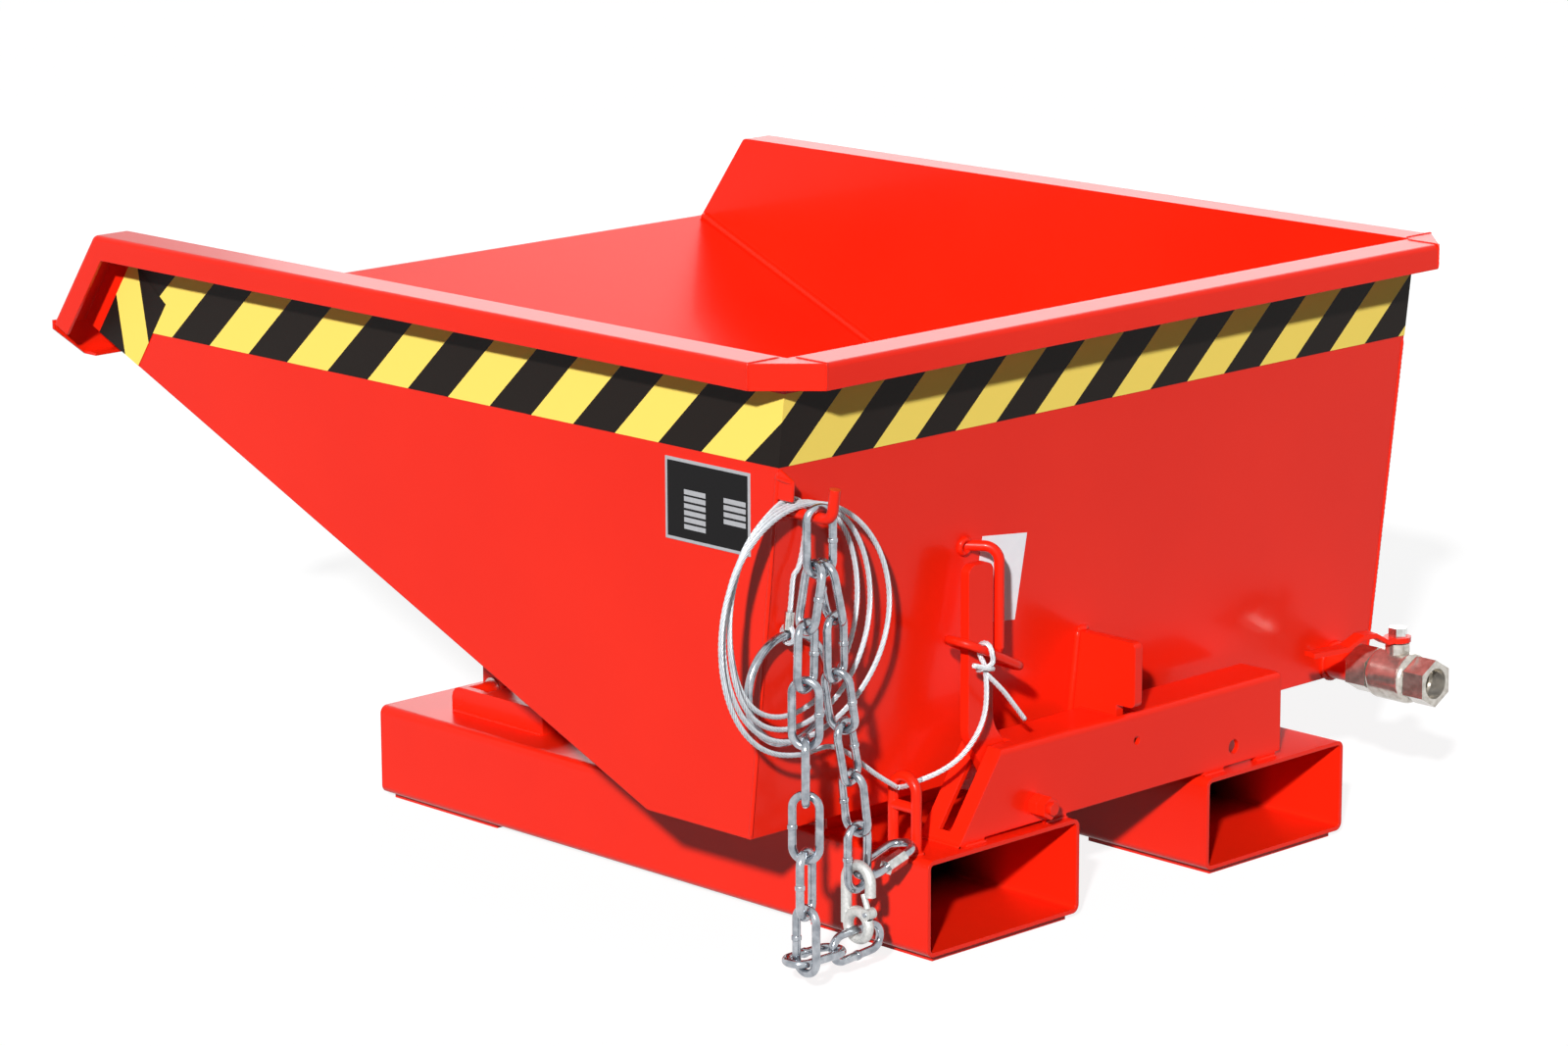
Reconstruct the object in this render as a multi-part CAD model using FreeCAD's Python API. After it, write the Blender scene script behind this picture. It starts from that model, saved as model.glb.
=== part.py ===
import FreeCAD
import Part
import math
import os

# Tipping skip with fork pockets.
# X runs from the rear (drain valve, latch) to the front lip, Y to the left, Z up.
# The origin lies on the floor under the middle of the whole part. Lengths in mm.

# Whole part
overall_length = 1094.0
overall_height = 567.0
sheet = 3.0
cut_overrun = 6.0
seat_clearance = 0.3
running_clearance = 0.05

# Fork tubes and their skid plates
tube_length = 761.0
tube_width = 200.0
tube_height = 90.0
tube_wall = 4.0
tube_corner_radius = 8.0
tube_spacing = 378.0
tube_front_setback = 287.0
skid_thickness = 6.0
skid_length = 155.0
skid_side_inset = 4.0
skid_end_inset = 6.0

# Bar that the skip body rests on
rest_bar_height = 32.3
rest_bar_width = 30.0
rest_bar_wall = 3.0
rest_bar_length = 560.0
rest_bar_from_wall = 67.0

# Skip body
body_width = 852.8
rim_length = 1050.0
rim_flange = 37.2
rear_flange = 38.0
rim_lip = 24.0
rim_bend_radius = 5.0
rim_front_radius = 8.0
rim_corner_leg = 48.0
wall_run = 48.4
bottom_length = 134.6
front_edge_run = 69.0
lip_below_rim = 94.0
lip_depth = 39.0
lip_return = 20.0
lip_corner_height = 30.0

# Tip hinge
axle_diameter = 16.0
axle_from_tube_front = 74.0
axle_above_tube = 16.0
cheek_thickness = 8.0
cheek_height = 26.0
cheek_length = 135.0
cheek_ahead_of_axle = 9.0
cheek_corner_radius = 12.0
leg_thickness = 8.0
leg_spacing = 392.0
leg_to_cheek = 38.0
cheek_spacing = leg_spacing + 2 * (leg_thickness + leg_to_cheek)
leg_end_radius = 15.0
leg_front_ahead = 15.0
leg_top_width = 101.0
bush_wall = 3.0
bush_length = 12.0
crossmember_width = 95.0
crossmember_height = 24.0
crossmember_wall = 5.0
crossmember_behind_axle = 31.0

# Rear crossbar, a folded sheet with a slanted left end
crossbar_sheet = 5.0
crossbar_inset = 10.0
crossbar_height = 81.0
crossbar_depth = 50.0
crossbar_right_half = 206.0
crossbar_left_top = 182.0
crossbar_left_foot = 239.0
crossbar_foot_height = 4.0
crossbar_foot_width = 28.0
crossbar_foot_inset = 7.0
crossbar_bend_radius = 6.0
lever_slot_width = 14.0
lever_slot_start = 152.0
lever_slot_end = 231.0
catch_notch_width = 26.0
catch_notch_slant = 16.0
spare_hole_diameter = 14.0
small_hole_diameter = 8.0
small_hole_drop = 27.0

# Catch plate on the rear wall
catch_thickness = 10.0
catch_centre_y = 10.0
catch_top = 247.0
catch_step = 185.0
catch_bottom = 122.0
catch_rear_gap = 10.0
catch_tongue_reach = 23.0
catch_corner_radius = 6.0

# Latch lever and its pivot
lever_thickness = 10.0
lever_gap = 15.0
lever_arm_width = 32.0
lever_top = 348.0
lever_elbow_height = 71.0
lever_arm_inset = 36.0
lever_corner_radius = 9.0
lever_boss_radius = 19.0
lever_nose_height = 26.0
lever_nose_gap = 2.0
lever_hole_diameter = 11.0
lever_hole_height = 149.0
pivot_y = 138.0
pivot_above_tube = 21.0
pivot_diameter = 12.0
pivot_head_width = 19.0
pivot_head_length = 7.5
pivot_nut_length = 10.0
pivot_nut_count = 2
pivot_tail = 4.0
spacer_wall = 4.0

# Keeper hook on the rear wall beside the lever
keeper_diameter = 10.0
keeper_root_y = 182.0
keeper_height = 358.0
keeper_leg_y = 160.0
keeper_reach = 18.0
keeper_tip_height = 264.0
keeper_bend_radius = 14.0
keeper_point_length = 6.0

# Release ring round the lever
ring_diameter = 8.0
ring_half_length = 42.0
ring_half_width = 18.0
ring_tilt = 25.5
ring_above_pivot = 149.0

# Chain staple on the left fork tube
staple_diameter = 10.0
staple_from_tube_side = 11.0
staple_rear_inset = 25.0
staple_width = 29.0
staple_height = 70.0
staple_rung_height = 42.0

# Storage hook for the chain and the rope
store_diameter = 10.0
store_y = 414.0
store_height = 430.0
store_reach = 57.0
store_rise = 28.0
store_lean = 4.0
store_bend_radius = 11.0

# Chain
link_wire = 7.6
link_inner_length = 52.0
link_inner_width = 17.0
link_gap = 0.6
chain_from_hook_end = 15.0
pair_offset = 4.1
pair_raise = 2.6
first_link_turn = 20.0
edge_slack = 2.4
left_turns = (100.0, 170.0, 60.0, 135.0, 60.0, 160.0, 90.0)
right_turns = (100.0, 170.0, 70.0, 165.0, 85.0, 0.0)
left_side_shares = (0.20, 0.03, 0.0, 0.0, 0.0, 0.0, 0.0)
right_side_shares = (-0.28, -0.06, -0.25, -0.27, -0.20, 0.0)
right_wall_shares = (0.04, 0.05, 0.07, 0.07, 0.06, 0.0)

# Safety hook, its gate and the quick link
hook_eye_radius = 12.5
hook_bar = 10.0
hook_bowl_radius = 15.0
hook_bowl_rise = 40.0
hook_tip_drop = 11.0
hook_side = 4.0
hook_from_leg = 0.4
hook_above_link_end = 2.5
gate_wire = 5.4
gate_eye_width = 6.4
gate_room_clearance = 1.4
gate_pivot_side = 13.0
gate_pivot_rise = 13.0
gate_end_side = 6.4
gate_end_rise = 30.0
gate_eye_radius = 5.2
rivet_diameter = 4.0
rivet_length = 13.0
quick_wire = 8.0
quick_inner_length = 53.0
quick_inner_width = 18.0
quick_rise = 17.0
quick_above_link_end = 12.0
sleeve_across_flats = 13.0
sleeve_length = 22.0

# Rope: coil on the storage hook, leads, knot and pull ring
rope = 5.0
coil_turns = 3.5
coil_pitch = 5.5
coil_from_wall = 4.0
coil_small_half_width = 84.0
coil_large_half_width = 102.0
coil_small_half_height = 92.0
coil_large_half_height = 110.0
coil_steps_per_turn = 4
pull_wire = 8.0
pull_radius = 48.5
pull_from_wall = 13.0
pull_height = 270.0
pull_y = 411.0
ferrule_diameter = 9.0
ferrule_length = 16.0
rope_eye_radius = 7.2
tail_side = 10.0
knot_radius = 7.5
knot_loop_radius = 8.4
knot_side = 17.0
knot_drop = 16.0
knot_tail_side = 72.0
knot_tail_drop = 70.0
knot_stub_side = 15.0
knot_stub_rise = 6.0
lead_first_run = 25.0
arc_share = 0.45
lead_a_points = (
    (-469.0, 360.0, 207.0),
    (-464.5, 336.0, 190.0),
    (-463.5, 312.0, 172.0),
    (-464.4, 291.0, 158.8),
)
lead_s_points = (
    (-464.2, 289.6, 158.2),
    (-464.0, 277.0, 156.4),
    (-464.6, 266.0, 157.2),
)
lead_b_points = (
    (-465.0, 260.0, 160.0),
    (-474.0, 249.0, 171.5),
    (-483.0, 236.0, 192.0),
    (-489.0, 221.0, 219.0),
)

# Drain valve
valve_y = -372.0
valve_above_bottom = 16.4
nipple_diameter = 33.7
nipple_bore = 27.0
nipple_length = 32.6
valve_length = 96.0
valve_hex = 41.0
valve_hex_length = 24.0
valve_barrel_diameter = 50.0
valve_barrel_round = 8.0
valve_bore = 25.0
valve_socket_diameter = 30.3
valve_socket_depth = 18.0
ball_diameter = 36.0
valve_boss_diameter = 24.0
valve_boss_height = 33.0
stem_diameter = 11.0
stem_slot_depth = 4.0
handle_thickness = 5.0
handle_width = 15.0
handle_length = 112.0
handle_hump = 9.0
handle_hub_diameter = 26.0
handle_gap = 1.5
handle_turn = 10.0
handle_flat_shares = (0.16, 0.30, 0.44, 0.62)
stem_nut_width = 17.0
stem_nut_height = 9.0

# Places worked out from the sizes above
front_x = overall_length / 2
lip_back_x = front_x - sheet
rim_rear_x = front_x - rim_length
wall_top_x = rim_rear_x + rear_flange
wall_bottom_x = wall_top_x + wall_run
slope_start_x = wall_bottom_x + bottom_length
body_half = body_width / 2
inside_half = body_half - sheet
rim_half = body_half + rim_flange
tube_front_x = front_x - tube_front_setback
tube_rear_x = tube_front_x - tube_length
tube_top = skid_thickness + tube_height
tube_y = tube_spacing / 2
bottom_z = tube_top + rest_bar_height + seat_clearance
lip_top_z = overall_height - lip_below_rim
slope_run = lip_back_x - slope_start_x
slope_rise = lip_top_z - bottom_z
slope_angle = math.atan2(slope_rise, slope_run) - math.asin(sheet / math.hypot(slope_run, slope_rise))
slope_tan = math.tan(slope_angle)
lip_bottom_z = lip_top_z - lip_depth
front_edge_x = lip_back_x - front_edge_run
rim_side_rear_x = rim_rear_x + rim_corner_leg
rim_rear_half = rim_half - rim_corner_leg
wall_slope = wall_run / (overall_height - bottom_z)
wall_sheet = sheet * math.hypot(1, wall_slope)
axle_x = tube_front_x - axle_from_tube_front
axle_z = tube_top + axle_above_tube
web_rear_x = tube_rear_x + crossbar_inset
web_front_x = web_rear_x + crossbar_sheet
crossbar_front_x = web_rear_x + crossbar_depth
crossbar_top = tube_top + crossbar_height
pivot_z = tube_top + pivot_above_tube
lever_rear_x = web_front_x + lever_gap
lever_front_x = lever_rear_x + lever_thickness
lever_x = lever_rear_x + lever_thickness / 2
lever_arm_y = pivot_y + lever_arm_inset
saved = []


def vec(x, y, z):
    return FreeCAD.Vector(x, y, z)


def wall_x(z):
    return wall_bottom_x - (z - bottom_z) * wall_slope


def slope_z(x):
    return bottom_z + (x - slope_start_x) * slope_tan


def save(node, *solids):
    shape = solids[0] if len(solids) == 1 else Part.makeCompound(list(solids))
    shape.exportStep("parts/" + node + ".step")
    saved.append((node, len(shape.Solids), round(shape.Volume), shape.isValid(), shape.BoundBox))


def box(x0, x1, y0, y1, z0, z1):
    return Part.makeBox(x1 - x0, y1 - y0, z1 - z0, vec(x0, y0, z0))


def cylinder(start, end, diameter):
    run = end - start
    return Part.makeCylinder(diameter / 2, run.Length, start, run)


def fused(first, *others):
    return first.fuse(list(others)).removeSplitter()


def corner(before, at, after, radius):
    # Tangent points and middle of the arc that rounds one corner of a path.
    first = (before - at).normalize()
    second = (after - at).normalize()
    half = first.getAngle(second) / 2
    reach = radius / math.tan(half)
    centre = at + (first + second).normalize() * (radius / math.sin(half))
    middle = centre + (at - centre).normalize() * radius
    return at + first * reach, middle, at + second * reach


def path_edges(points, radii, closed):
    edges = []
    count = len(points)
    starts = []
    ends = []
    for index in range(count):
        at = points[index]
        if radii[index] == 0 or (not closed and index in (0, count - 1)):
            starts.append(at)
            ends.append(at)
            edges.append(None)
            continue
        begin, middle, finish = corner(points[index - 1], at, points[(index + 1) % count], radii[index])
        starts.append(begin)
        ends.append(finish)
        edges.append(Part.Arc(begin, middle, finish).toShape())
    path = []
    for index in range(count):
        if edges[index]:
            path.append(edges[index])
        if index + 1 < count or closed:
            path.append(Part.LineSegment(ends[index], starts[(index + 1) % count]).toShape())
    return path


def plate(axis, points, low, high, radii=None):
    # Flat outline with rounded corners, extruded along one axis from low to high.
    places = {
        "x": lambda a, b: vec(low, a, b),
        "y": lambda a, b: vec(a, low, b),
        "z": lambda a, b: vec(a, b, low),
    }
    along = {"x": vec(1, 0, 0), "y": vec(0, 1, 0), "z": vec(0, 0, 1)}
    corners = [places[axis](a, b) for a, b in points]
    edges = path_edges(corners, radii or [0] * len(points), True)
    return Part.Face(Part.Wire(edges)).extrude(along[axis] * (high - low))


def swept(edges, diameter):
    wire = Part.Wire(edges)
    first = wire.Edges[0]
    start = first.valueAt(first.FirstParameter)
    along = first.tangentAt(first.FirstParameter)
    ring = Part.Wire(Part.makeCircle(diameter / 2, start, along))
    solid = wire.makePipeShell([ring], True, False)
    if solid.Volume < 0:
        solid.reverse()
    return solid


def bent_bar(points, radii, diameter):
    return swept(path_edges(points, radii, False), diameter)


def hex_prism(centre, along, across_flats, length):
    # Six-sided bar along X or Z with two flats square to the first cross direction.
    radius = across_flats / math.sqrt(3)
    first = vec(0, 1, 0)
    second = along.cross(first)
    ring = []
    for step in range(6):
        angle = math.radians(60 * step + 30)
        ring.append(centre + first * (radius * math.cos(angle)) + second * (radius * math.sin(angle)))
    return Part.Face(Part.makePolygon(ring + ring[:1])).extrude(along * length)


def link(first_end, last_end, side, wire, inner_width):
    # One link from two half rings and two legs, between the wire centres at its ends.
    along = (last_end - first_end).normalize()
    side = (side - along * side.dot(along)).normalize()
    half = (inner_width + wire) / 2
    solids = []
    for end, inward in ((first_end, along), (last_end, along * -1)):
        centre = end + inward * half
        disc = Part.Face(Part.Wire(Part.makeCircle(wire / 2, centre + side * half, along)))
        solids.append(disc.revolve(centre, inward.cross(side), 180))
    for sign in (1, -1):
        offset = side * (half * sign)
        solids.append(cylinder(first_end + along * half + offset, last_end - along * half + offset, wire))
    return fused(*solids)


def turned(angle):
    return vec(math.sin(math.radians(angle)), math.cos(math.radians(angle)), 0)


def biarc(start, start_along, end, end_along):
    # Two arcs that leave one point and reach another along given directions.
    gap = end - start
    both = start_along + end_along
    spread = 2 * (1 - start_along.dot(end_along))
    mixed = gap.dot(both)
    reach = (math.sqrt(mixed * mixed + spread * gap.dot(gap)) - mixed) / spread
    first_corner = start + start_along * reach
    last_corner = end - end_along * reach
    middle = (first_corner + last_corner) / 2
    edges = []
    for a, at, b in ((start, first_corner, middle), (middle, last_corner, end)):
        begin, top, finish = corner(a, at, b, radius_for(a, at, b))
        edges.append(Part.Arc(a, top, b).toShape())
    return edges


def radius_for(before, at, after):
    half = (before - at).getAngle(after - at) / 2
    return (before - at).Length * math.tan(half)


def lead_tube(points, name):
    # Rope stretch: each arc is as large as its two runs allow.
    radii = [0]
    for index in range(1, len(points) - 1):
        before, at, after = points[index - 1:index + 2]
        shorter = min((before - at).Length, (after - at).Length)
        turn = math.pi - (before - at).getAngle(after - at)
        radii.append(arc_share * shorter / math.tan(turn / 2))
    radii.append(0)
    edges = path_edges(points, radii, False)
    tube = swept(edges, rope)
    length = sum(edge.Length for edge in edges)
    ratio = tube.Volume / (length * math.pi * rope * rope / 4)
    shown = [round(radius, 1) for radius in radii[1:-1]]
    print(name, "radii", shown, "length", round(length, 1), "ratio", round(ratio, 4))
    return tube


os.makedirs("parts", exist_ok=True)

# Fork tubes, open at both ends, with skid plates under their ends.
front_skids = []
rear_skids = []
for name, side in (("left", 1), ("right", -1)):
    y0 = side * tube_y - tube_width / 2
    y1 = side * tube_y + tube_width / 2
    outer = [(y0, skid_thickness), (y1, skid_thickness), (y1, tube_top), (y0, tube_top)]
    inner = [
        (y0 + tube_wall, skid_thickness + tube_wall),
        (y1 - tube_wall, skid_thickness + tube_wall),
        (y1 - tube_wall, tube_top - tube_wall),
        (y0 + tube_wall, tube_top - tube_wall),
    ]
    tube = plate("x", outer, tube_rear_x, tube_front_x, [tube_corner_radius] * 4)
    hollow = plate(
        "x", inner, tube_rear_x - cut_overrun, tube_front_x + cut_overrun,
        [tube_corner_radius - tube_wall] * 4,
    )
    save(name + "_fork_tube", tube.cut(hollow))
    skid_y0 = y0 + tube_corner_radius + skid_side_inset
    skid_y1 = y1 - tube_corner_radius - skid_side_inset
    skid_front = tube_front_x - skid_end_inset
    skid_rear = tube_rear_x + skid_end_inset
    front_skids.append(box(skid_front - skid_length, skid_front, skid_y0, skid_y1, 0, skid_thickness))
    rear_skids.append(box(skid_rear, skid_rear + skid_length, skid_y0, skid_y1, 0, skid_thickness))
save("front_skid_plates", *front_skids)
save("rear_skid_plates", *rear_skids)

# Square tube across the fork tubes, just under the flat bottom of the skip.
rest_x0 = wall_bottom_x + rest_bar_from_wall - rest_bar_width / 2
rest_x1 = rest_x0 + rest_bar_width
rest_half = rest_bar_length / 2
rest_bar = box(rest_x0, rest_x1, -rest_half, rest_half, tube_top, tube_top + rest_bar_height)
rest_hollow = box(
    rest_x0 + rest_bar_wall,
    rest_x1 - rest_bar_wall,
    -rest_half - cut_overrun,
    rest_half + cut_overrun,
    tube_top + rest_bar_wall,
    tube_top + rest_bar_height - rest_bar_wall,
)
save("rest_bar", rest_bar.cut(rest_hollow))

# Front crossmember, an upturned channel between the hinge cheeks.
cheek_inner = cheek_spacing / 2
channel_x1 = axle_x - crossmember_behind_axle
channel_x0 = channel_x1 - crossmember_width
channel_top = tube_top + crossmember_height
channel = box(channel_x0, channel_x1, -cheek_inner, cheek_inner, tube_top, channel_top)
channel_hollow = box(
    channel_x0 + crossmember_wall,
    channel_x1 - crossmember_wall,
    -cheek_inner - cut_overrun,
    cheek_inner + cut_overrun,
    tube_top - cut_overrun,
    channel_top - crossmember_wall,
)
save("front_crossmember", channel.cut(channel_hollow))

# Hinge cheeks on the tubes, the axle through them, and the legs of the skip on their bushes.
cheek_x1 = axle_x + cheek_ahead_of_axle
cheek_x0 = cheek_x1 - cheek_length
cheek_outline = [
    (cheek_x0, tube_top),
    (cheek_x1, tube_top),
    (cheek_x1, tube_top + cheek_height),
    (cheek_x0, tube_top + cheek_height),
]
cheek_radii = [0, 0, cheek_corner_radius, cheek_corner_radius]
leg_front = axle_x + leg_front_ahead
leg_back = leg_front - leg_top_width
leg_outline = [
    (axle_x - leg_end_radius, axle_z),
    (leg_front, axle_z),
    (leg_front, slope_z(leg_front)),
    (leg_back, slope_z(leg_back)),
]
bush_diameter = axle_diameter + 2 * running_clearance + 2 * bush_wall
axle_half = cheek_inner + cheek_thickness
bushes = []
for name, side in (("left", 1), ("right", -1)):
    low, high = sorted((side * cheek_inner, side * (cheek_inner + cheek_thickness)))
    cheek = plate("y", cheek_outline, low, high, cheek_radii)
    axle_hole = cylinder(
        vec(axle_x, low - cut_overrun, axle_z), vec(axle_x, high + cut_overrun, axle_z), axle_diameter
    )
    save(name + "_hinge_cheek", cheek.cut(axle_hole))
    low, high = sorted((side * leg_spacing / 2, side * (leg_spacing / 2 + leg_thickness)))
    leg_end = cylinder(vec(axle_x, low, axle_z), vec(axle_x, high, axle_z), 2 * leg_end_radius)
    leg = fused(plate("y", leg_outline, low, high), leg_end)
    bush_y0 = (low + high - bush_length) / 2
    bush_y1 = bush_y0 + bush_length
    bush_body = cylinder(vec(axle_x, bush_y0, axle_z), vec(axle_x, bush_y1, axle_z), bush_diameter)
    bush_hole = cylinder(
        vec(axle_x, bush_y0 - cut_overrun, axle_z),
        vec(axle_x, bush_y1 + cut_overrun, axle_z),
        axle_diameter + 2 * running_clearance,
    )
    save(name + "_hinge_leg", leg.cut(bush_body))
    bushes.append(bush_body.cut(bush_hole))
save("hinge_bushes", *bushes)
save("hinge_axle", cylinder(vec(axle_x, -axle_half, axle_z), vec(axle_x, axle_half, axle_z), axle_diameter))

# Rear crossbar: web, top flange and slanted flange folded from one sheet, on four feet.
foot_top = tube_top + crossbar_foot_height
slant = (crossbar_left_foot - crossbar_left_top) / crossbar_height
slant_sheet = crossbar_sheet * math.hypot(1, slant)
web_outline = [
    (-crossbar_right_half, foot_top),
    (crossbar_left_foot - crossbar_foot_height * slant, foot_top),
    (crossbar_left_top, crossbar_top),
    (-crossbar_right_half, crossbar_top),
]
web = plate("x", web_outline, web_rear_x, web_front_x)
top_flange = box(
    web_rear_x,
    crossbar_front_x,
    -crossbar_right_half,
    crossbar_left_top,
    crossbar_top - crossbar_sheet,
    crossbar_top,
)
slant_outline = [
    (crossbar_left_foot, tube_top),
    (crossbar_left_top, crossbar_top),
    (crossbar_left_top - slant_sheet, crossbar_top),
    (crossbar_left_foot - slant_sheet, tube_top),
]
slant_flange = plate("x", slant_outline, web_rear_x, crossbar_front_x)
tube_inner_y = tube_y - tube_width / 2
foot_starts = (
    tube_inner_y + crossbar_foot_inset,
    crossbar_left_foot - slant_sheet - crossbar_foot_width,
    -tube_inner_y - crossbar_foot_inset - crossbar_foot_width,
    -crossbar_right_half + crossbar_foot_inset,
)
feet = []
for foot_y in foot_starts:
    feet.append(box(web_rear_x, web_front_x, foot_y, foot_y + crossbar_foot_width, tube_top, foot_top))
crossbar = fused(web, top_flange, slant_flange, *feet)
bend = []
for edge in crossbar.Edges:
    middle = edge.BoundBox.Center
    on_rear = edge.BoundBox.XMax < web_rear_x + seat_clearance
    if on_rear and abs(middle.z - crossbar_top) < seat_clearance and edge.Length > crossbar_right_half:
        bend.append(edge)
crossbar = crossbar.makeFillet(crossbar_bend_radius, bend)
slot_middle = lever_x
lever_slot = box(
    slot_middle - lever_slot_width / 2,
    slot_middle + lever_slot_width / 2,
    lever_slot_start,
    lever_slot_end,
    foot_top,
    crossbar_top + cut_overrun,
)
notch_y0 = catch_centre_y - catch_notch_width / 2
notch_y1 = catch_centre_y + catch_notch_width / 2
notch_outline = [
    (web_front_x, notch_y0),
    (web_front_x, notch_y1),
    (crossbar_front_x + cut_overrun, notch_y1),
    (crossbar_front_x + cut_overrun, notch_y0 - catch_notch_slant),
]
notch = plate("z", notch_outline, crossbar_top - crossbar_sheet - cut_overrun, crossbar_top + cut_overrun)
web_cut_x0 = web_rear_x - cut_overrun
web_cut_x1 = web_front_x + cut_overrun
pivot_hole = cylinder(vec(web_cut_x0, pivot_y, pivot_z), vec(web_cut_x1, pivot_y, pivot_z), pivot_diameter)
spare_hole = cylinder(
    vec(web_cut_x0, -pivot_y, pivot_z), vec(web_cut_x1, -pivot_y, pivot_z), spare_hole_diameter
)
small_hole_z = crossbar_top - small_hole_drop
small_hole = cylinder(
    vec(web_cut_x0, catch_centre_y - catch_thickness, small_hole_z),
    vec(web_cut_x1, catch_centre_y - catch_thickness, small_hole_z),
    small_hole_diameter,
)
save("rear_crossbar", crossbar.cut([lever_slot, notch, pivot_hole, spare_hole, small_hole]))

# Latch pivot: bolt, spacer in front of the web and two nuts behind it.
bolt_head_x = lever_front_x + seat_clearance
bolt_end_x = web_rear_x - pivot_nut_count * pivot_nut_length - pivot_tail
bolt = cylinder(vec(bolt_end_x, pivot_y, pivot_z), vec(bolt_head_x, pivot_y, pivot_z), pivot_diameter)
bolt_head = hex_prism(vec(bolt_head_x, pivot_y, pivot_z), vec(1, 0, 0), pivot_head_width, pivot_head_length)
save("latch_pivot_bolt", fused(bolt, bolt_head))
spacer = cylinder(
    vec(web_front_x, pivot_y, pivot_z),
    vec(lever_rear_x - seat_clearance, pivot_y, pivot_z),
    pivot_diameter + 2 * spacer_wall,
)
save("latch_spacer", spacer.cut(bolt))
nuts = []
for index in range(pivot_nut_count):
    nut_x = web_rear_x - (index + 1) * pivot_nut_length
    nut = hex_prism(vec(nut_x, pivot_y, pivot_z), vec(1, 0, 0), pivot_head_width, pivot_nut_length)
    nuts.append(nut.cut(bolt))
save("latch_pivot_nuts", *nuts)

# Latch lever: boss on the pivot, long arm through the slot, nose that points at the catch plate.
arm_y1 = lever_arm_y + lever_arm_width
elbow_z = pivot_z + lever_elbow_height
arm_outline = [
    (lever_arm_y, lever_top),
    (arm_y1, lever_top),
    (arm_y1, elbow_z),
    (pivot_y + lever_boss_radius, pivot_z - lever_boss_radius / 2),
    (pivot_y - lever_boss_radius, pivot_z + lever_boss_radius / 4),
    (lever_arm_y, elbow_z + lever_boss_radius / 2),
]
arm_radii = [lever_corner_radius, lever_corner_radius, lever_arm_width, 0, 0, lever_arm_width]
arm = plate("x", arm_outline, lever_rear_x, lever_front_x, arm_radii)
boss = cylinder(
    vec(lever_rear_x, pivot_y, pivot_z), vec(lever_front_x, pivot_y, pivot_z), 2 * lever_boss_radius
)
nose_y = catch_centre_y + catch_thickness / 2 + lever_nose_gap
nose_outline = [
    (nose_y, pivot_z - lever_nose_height / 2),
    (pivot_y, pivot_z - lever_nose_height / 2),
    (pivot_y, pivot_z + lever_nose_height / 2),
    (nose_y, pivot_z + lever_nose_height / 2),
]
nose = plate("x", nose_outline, lever_rear_x, lever_front_x)
lever_cut_x0 = lever_rear_x - cut_overrun
lever_cut_x1 = lever_front_x + cut_overrun
lever_bore = cylinder(
    vec(lever_cut_x0, pivot_y, pivot_z),
    vec(lever_cut_x1, pivot_y, pivot_z),
    pivot_diameter + 2 * running_clearance,
)
grip_y = lever_arm_y + lever_arm_width / 3
grip_z = pivot_z + lever_hole_height
grip_hole = cylinder(
    vec(lever_cut_x0, grip_y, grip_z), vec(lever_cut_x1, grip_y, grip_z), lever_hole_diameter
)
save("latch_lever", fused(boss, arm, nose).cut([lever_bore, grip_hole]))

# Release ring, an oval that goes round the lever, tilted down to the right.
ring_x = lever_front_x + seat_clearance + ring_diameter / 2 - ring_half_width
ring_centre = vec(ring_x, lever_arm_y + lever_arm_width / 2, pivot_z + ring_above_pivot)
tilt = math.radians(ring_tilt)
ring_along = vec(0, math.cos(tilt), math.sin(tilt))
ring_inner = 2 * ring_half_width - ring_diameter
save(
    "release_ring",
    link(
        ring_centre + ring_along * ring_half_length,
        ring_centre - ring_along * ring_half_length,
        vec(1, 0, 0),
        ring_diameter,
        ring_inner,
    ),
)

# Chain staple: bent bar with a rung, welded on the left tube.
staple_y = tube_y + tube_width / 2 - staple_from_tube_side
staple_x0 = tube_rear_x + staple_rear_inset
staple_x1 = staple_x0 + staple_width
staple_top = tube_top + staple_height
staple_bend = staple_width / 2 - seat_clearance
staple_points = [
    vec(staple_x0, staple_y, tube_top),
    vec(staple_x0, staple_y, staple_top),
    vec(staple_x1, staple_y, staple_top),
    vec(staple_x1, staple_y, tube_top),
]
staple = bent_bar(staple_points, [0, staple_bend, staple_bend, 0], staple_diameter)
rung_z = tube_top + staple_rung_height
rung = cylinder(vec(staple_x0, staple_y, rung_z), vec(staple_x1, staple_y, rung_z), staple_diameter)
save("chain_staple", staple.fuse(rung))

# Skip body: flat bottom, slope, rear wall, two side panels with their folded rims.
mitre = sheet * math.tan(slope_angle / 2)
bottom_outline = [
    (wall_x(bottom_z) + wall_sheet, bottom_z),
    (slope_start_x, bottom_z),
    (slope_start_x - mitre, bottom_z + sheet),
    (wall_x(bottom_z + sheet) + wall_sheet, bottom_z + sheet),
]
save("bottom_sheet", plate("y", bottom_outline, -inside_half, inside_half))
slope_outline = [
    (slope_start_x, bottom_z),
    (lip_back_x, slope_z(lip_back_x)),
    (lip_back_x, lip_top_z),
    (slope_start_x - mitre, bottom_z + sheet),
]
save("slope_sheet", plate("y", slope_outline, -inside_half, inside_half))

lip_outline = [
    (-rim_half, lip_top_z),
    (-rim_half, lip_top_z - lip_depth + lip_corner_height),
    (-body_half, lip_bottom_z),
    (body_half, lip_bottom_z),
    (rim_half, lip_top_z - lip_depth + lip_corner_height),
    (rim_half, lip_top_z),
]
lip_plate = plate("x", lip_outline, lip_back_x, front_x)
lip_fold = box(front_x - lip_return, front_x, -body_half, body_half, lip_bottom_z, lip_bottom_z + sheet)
save("front_lip", fused(lip_plate, lip_fold))

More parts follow.
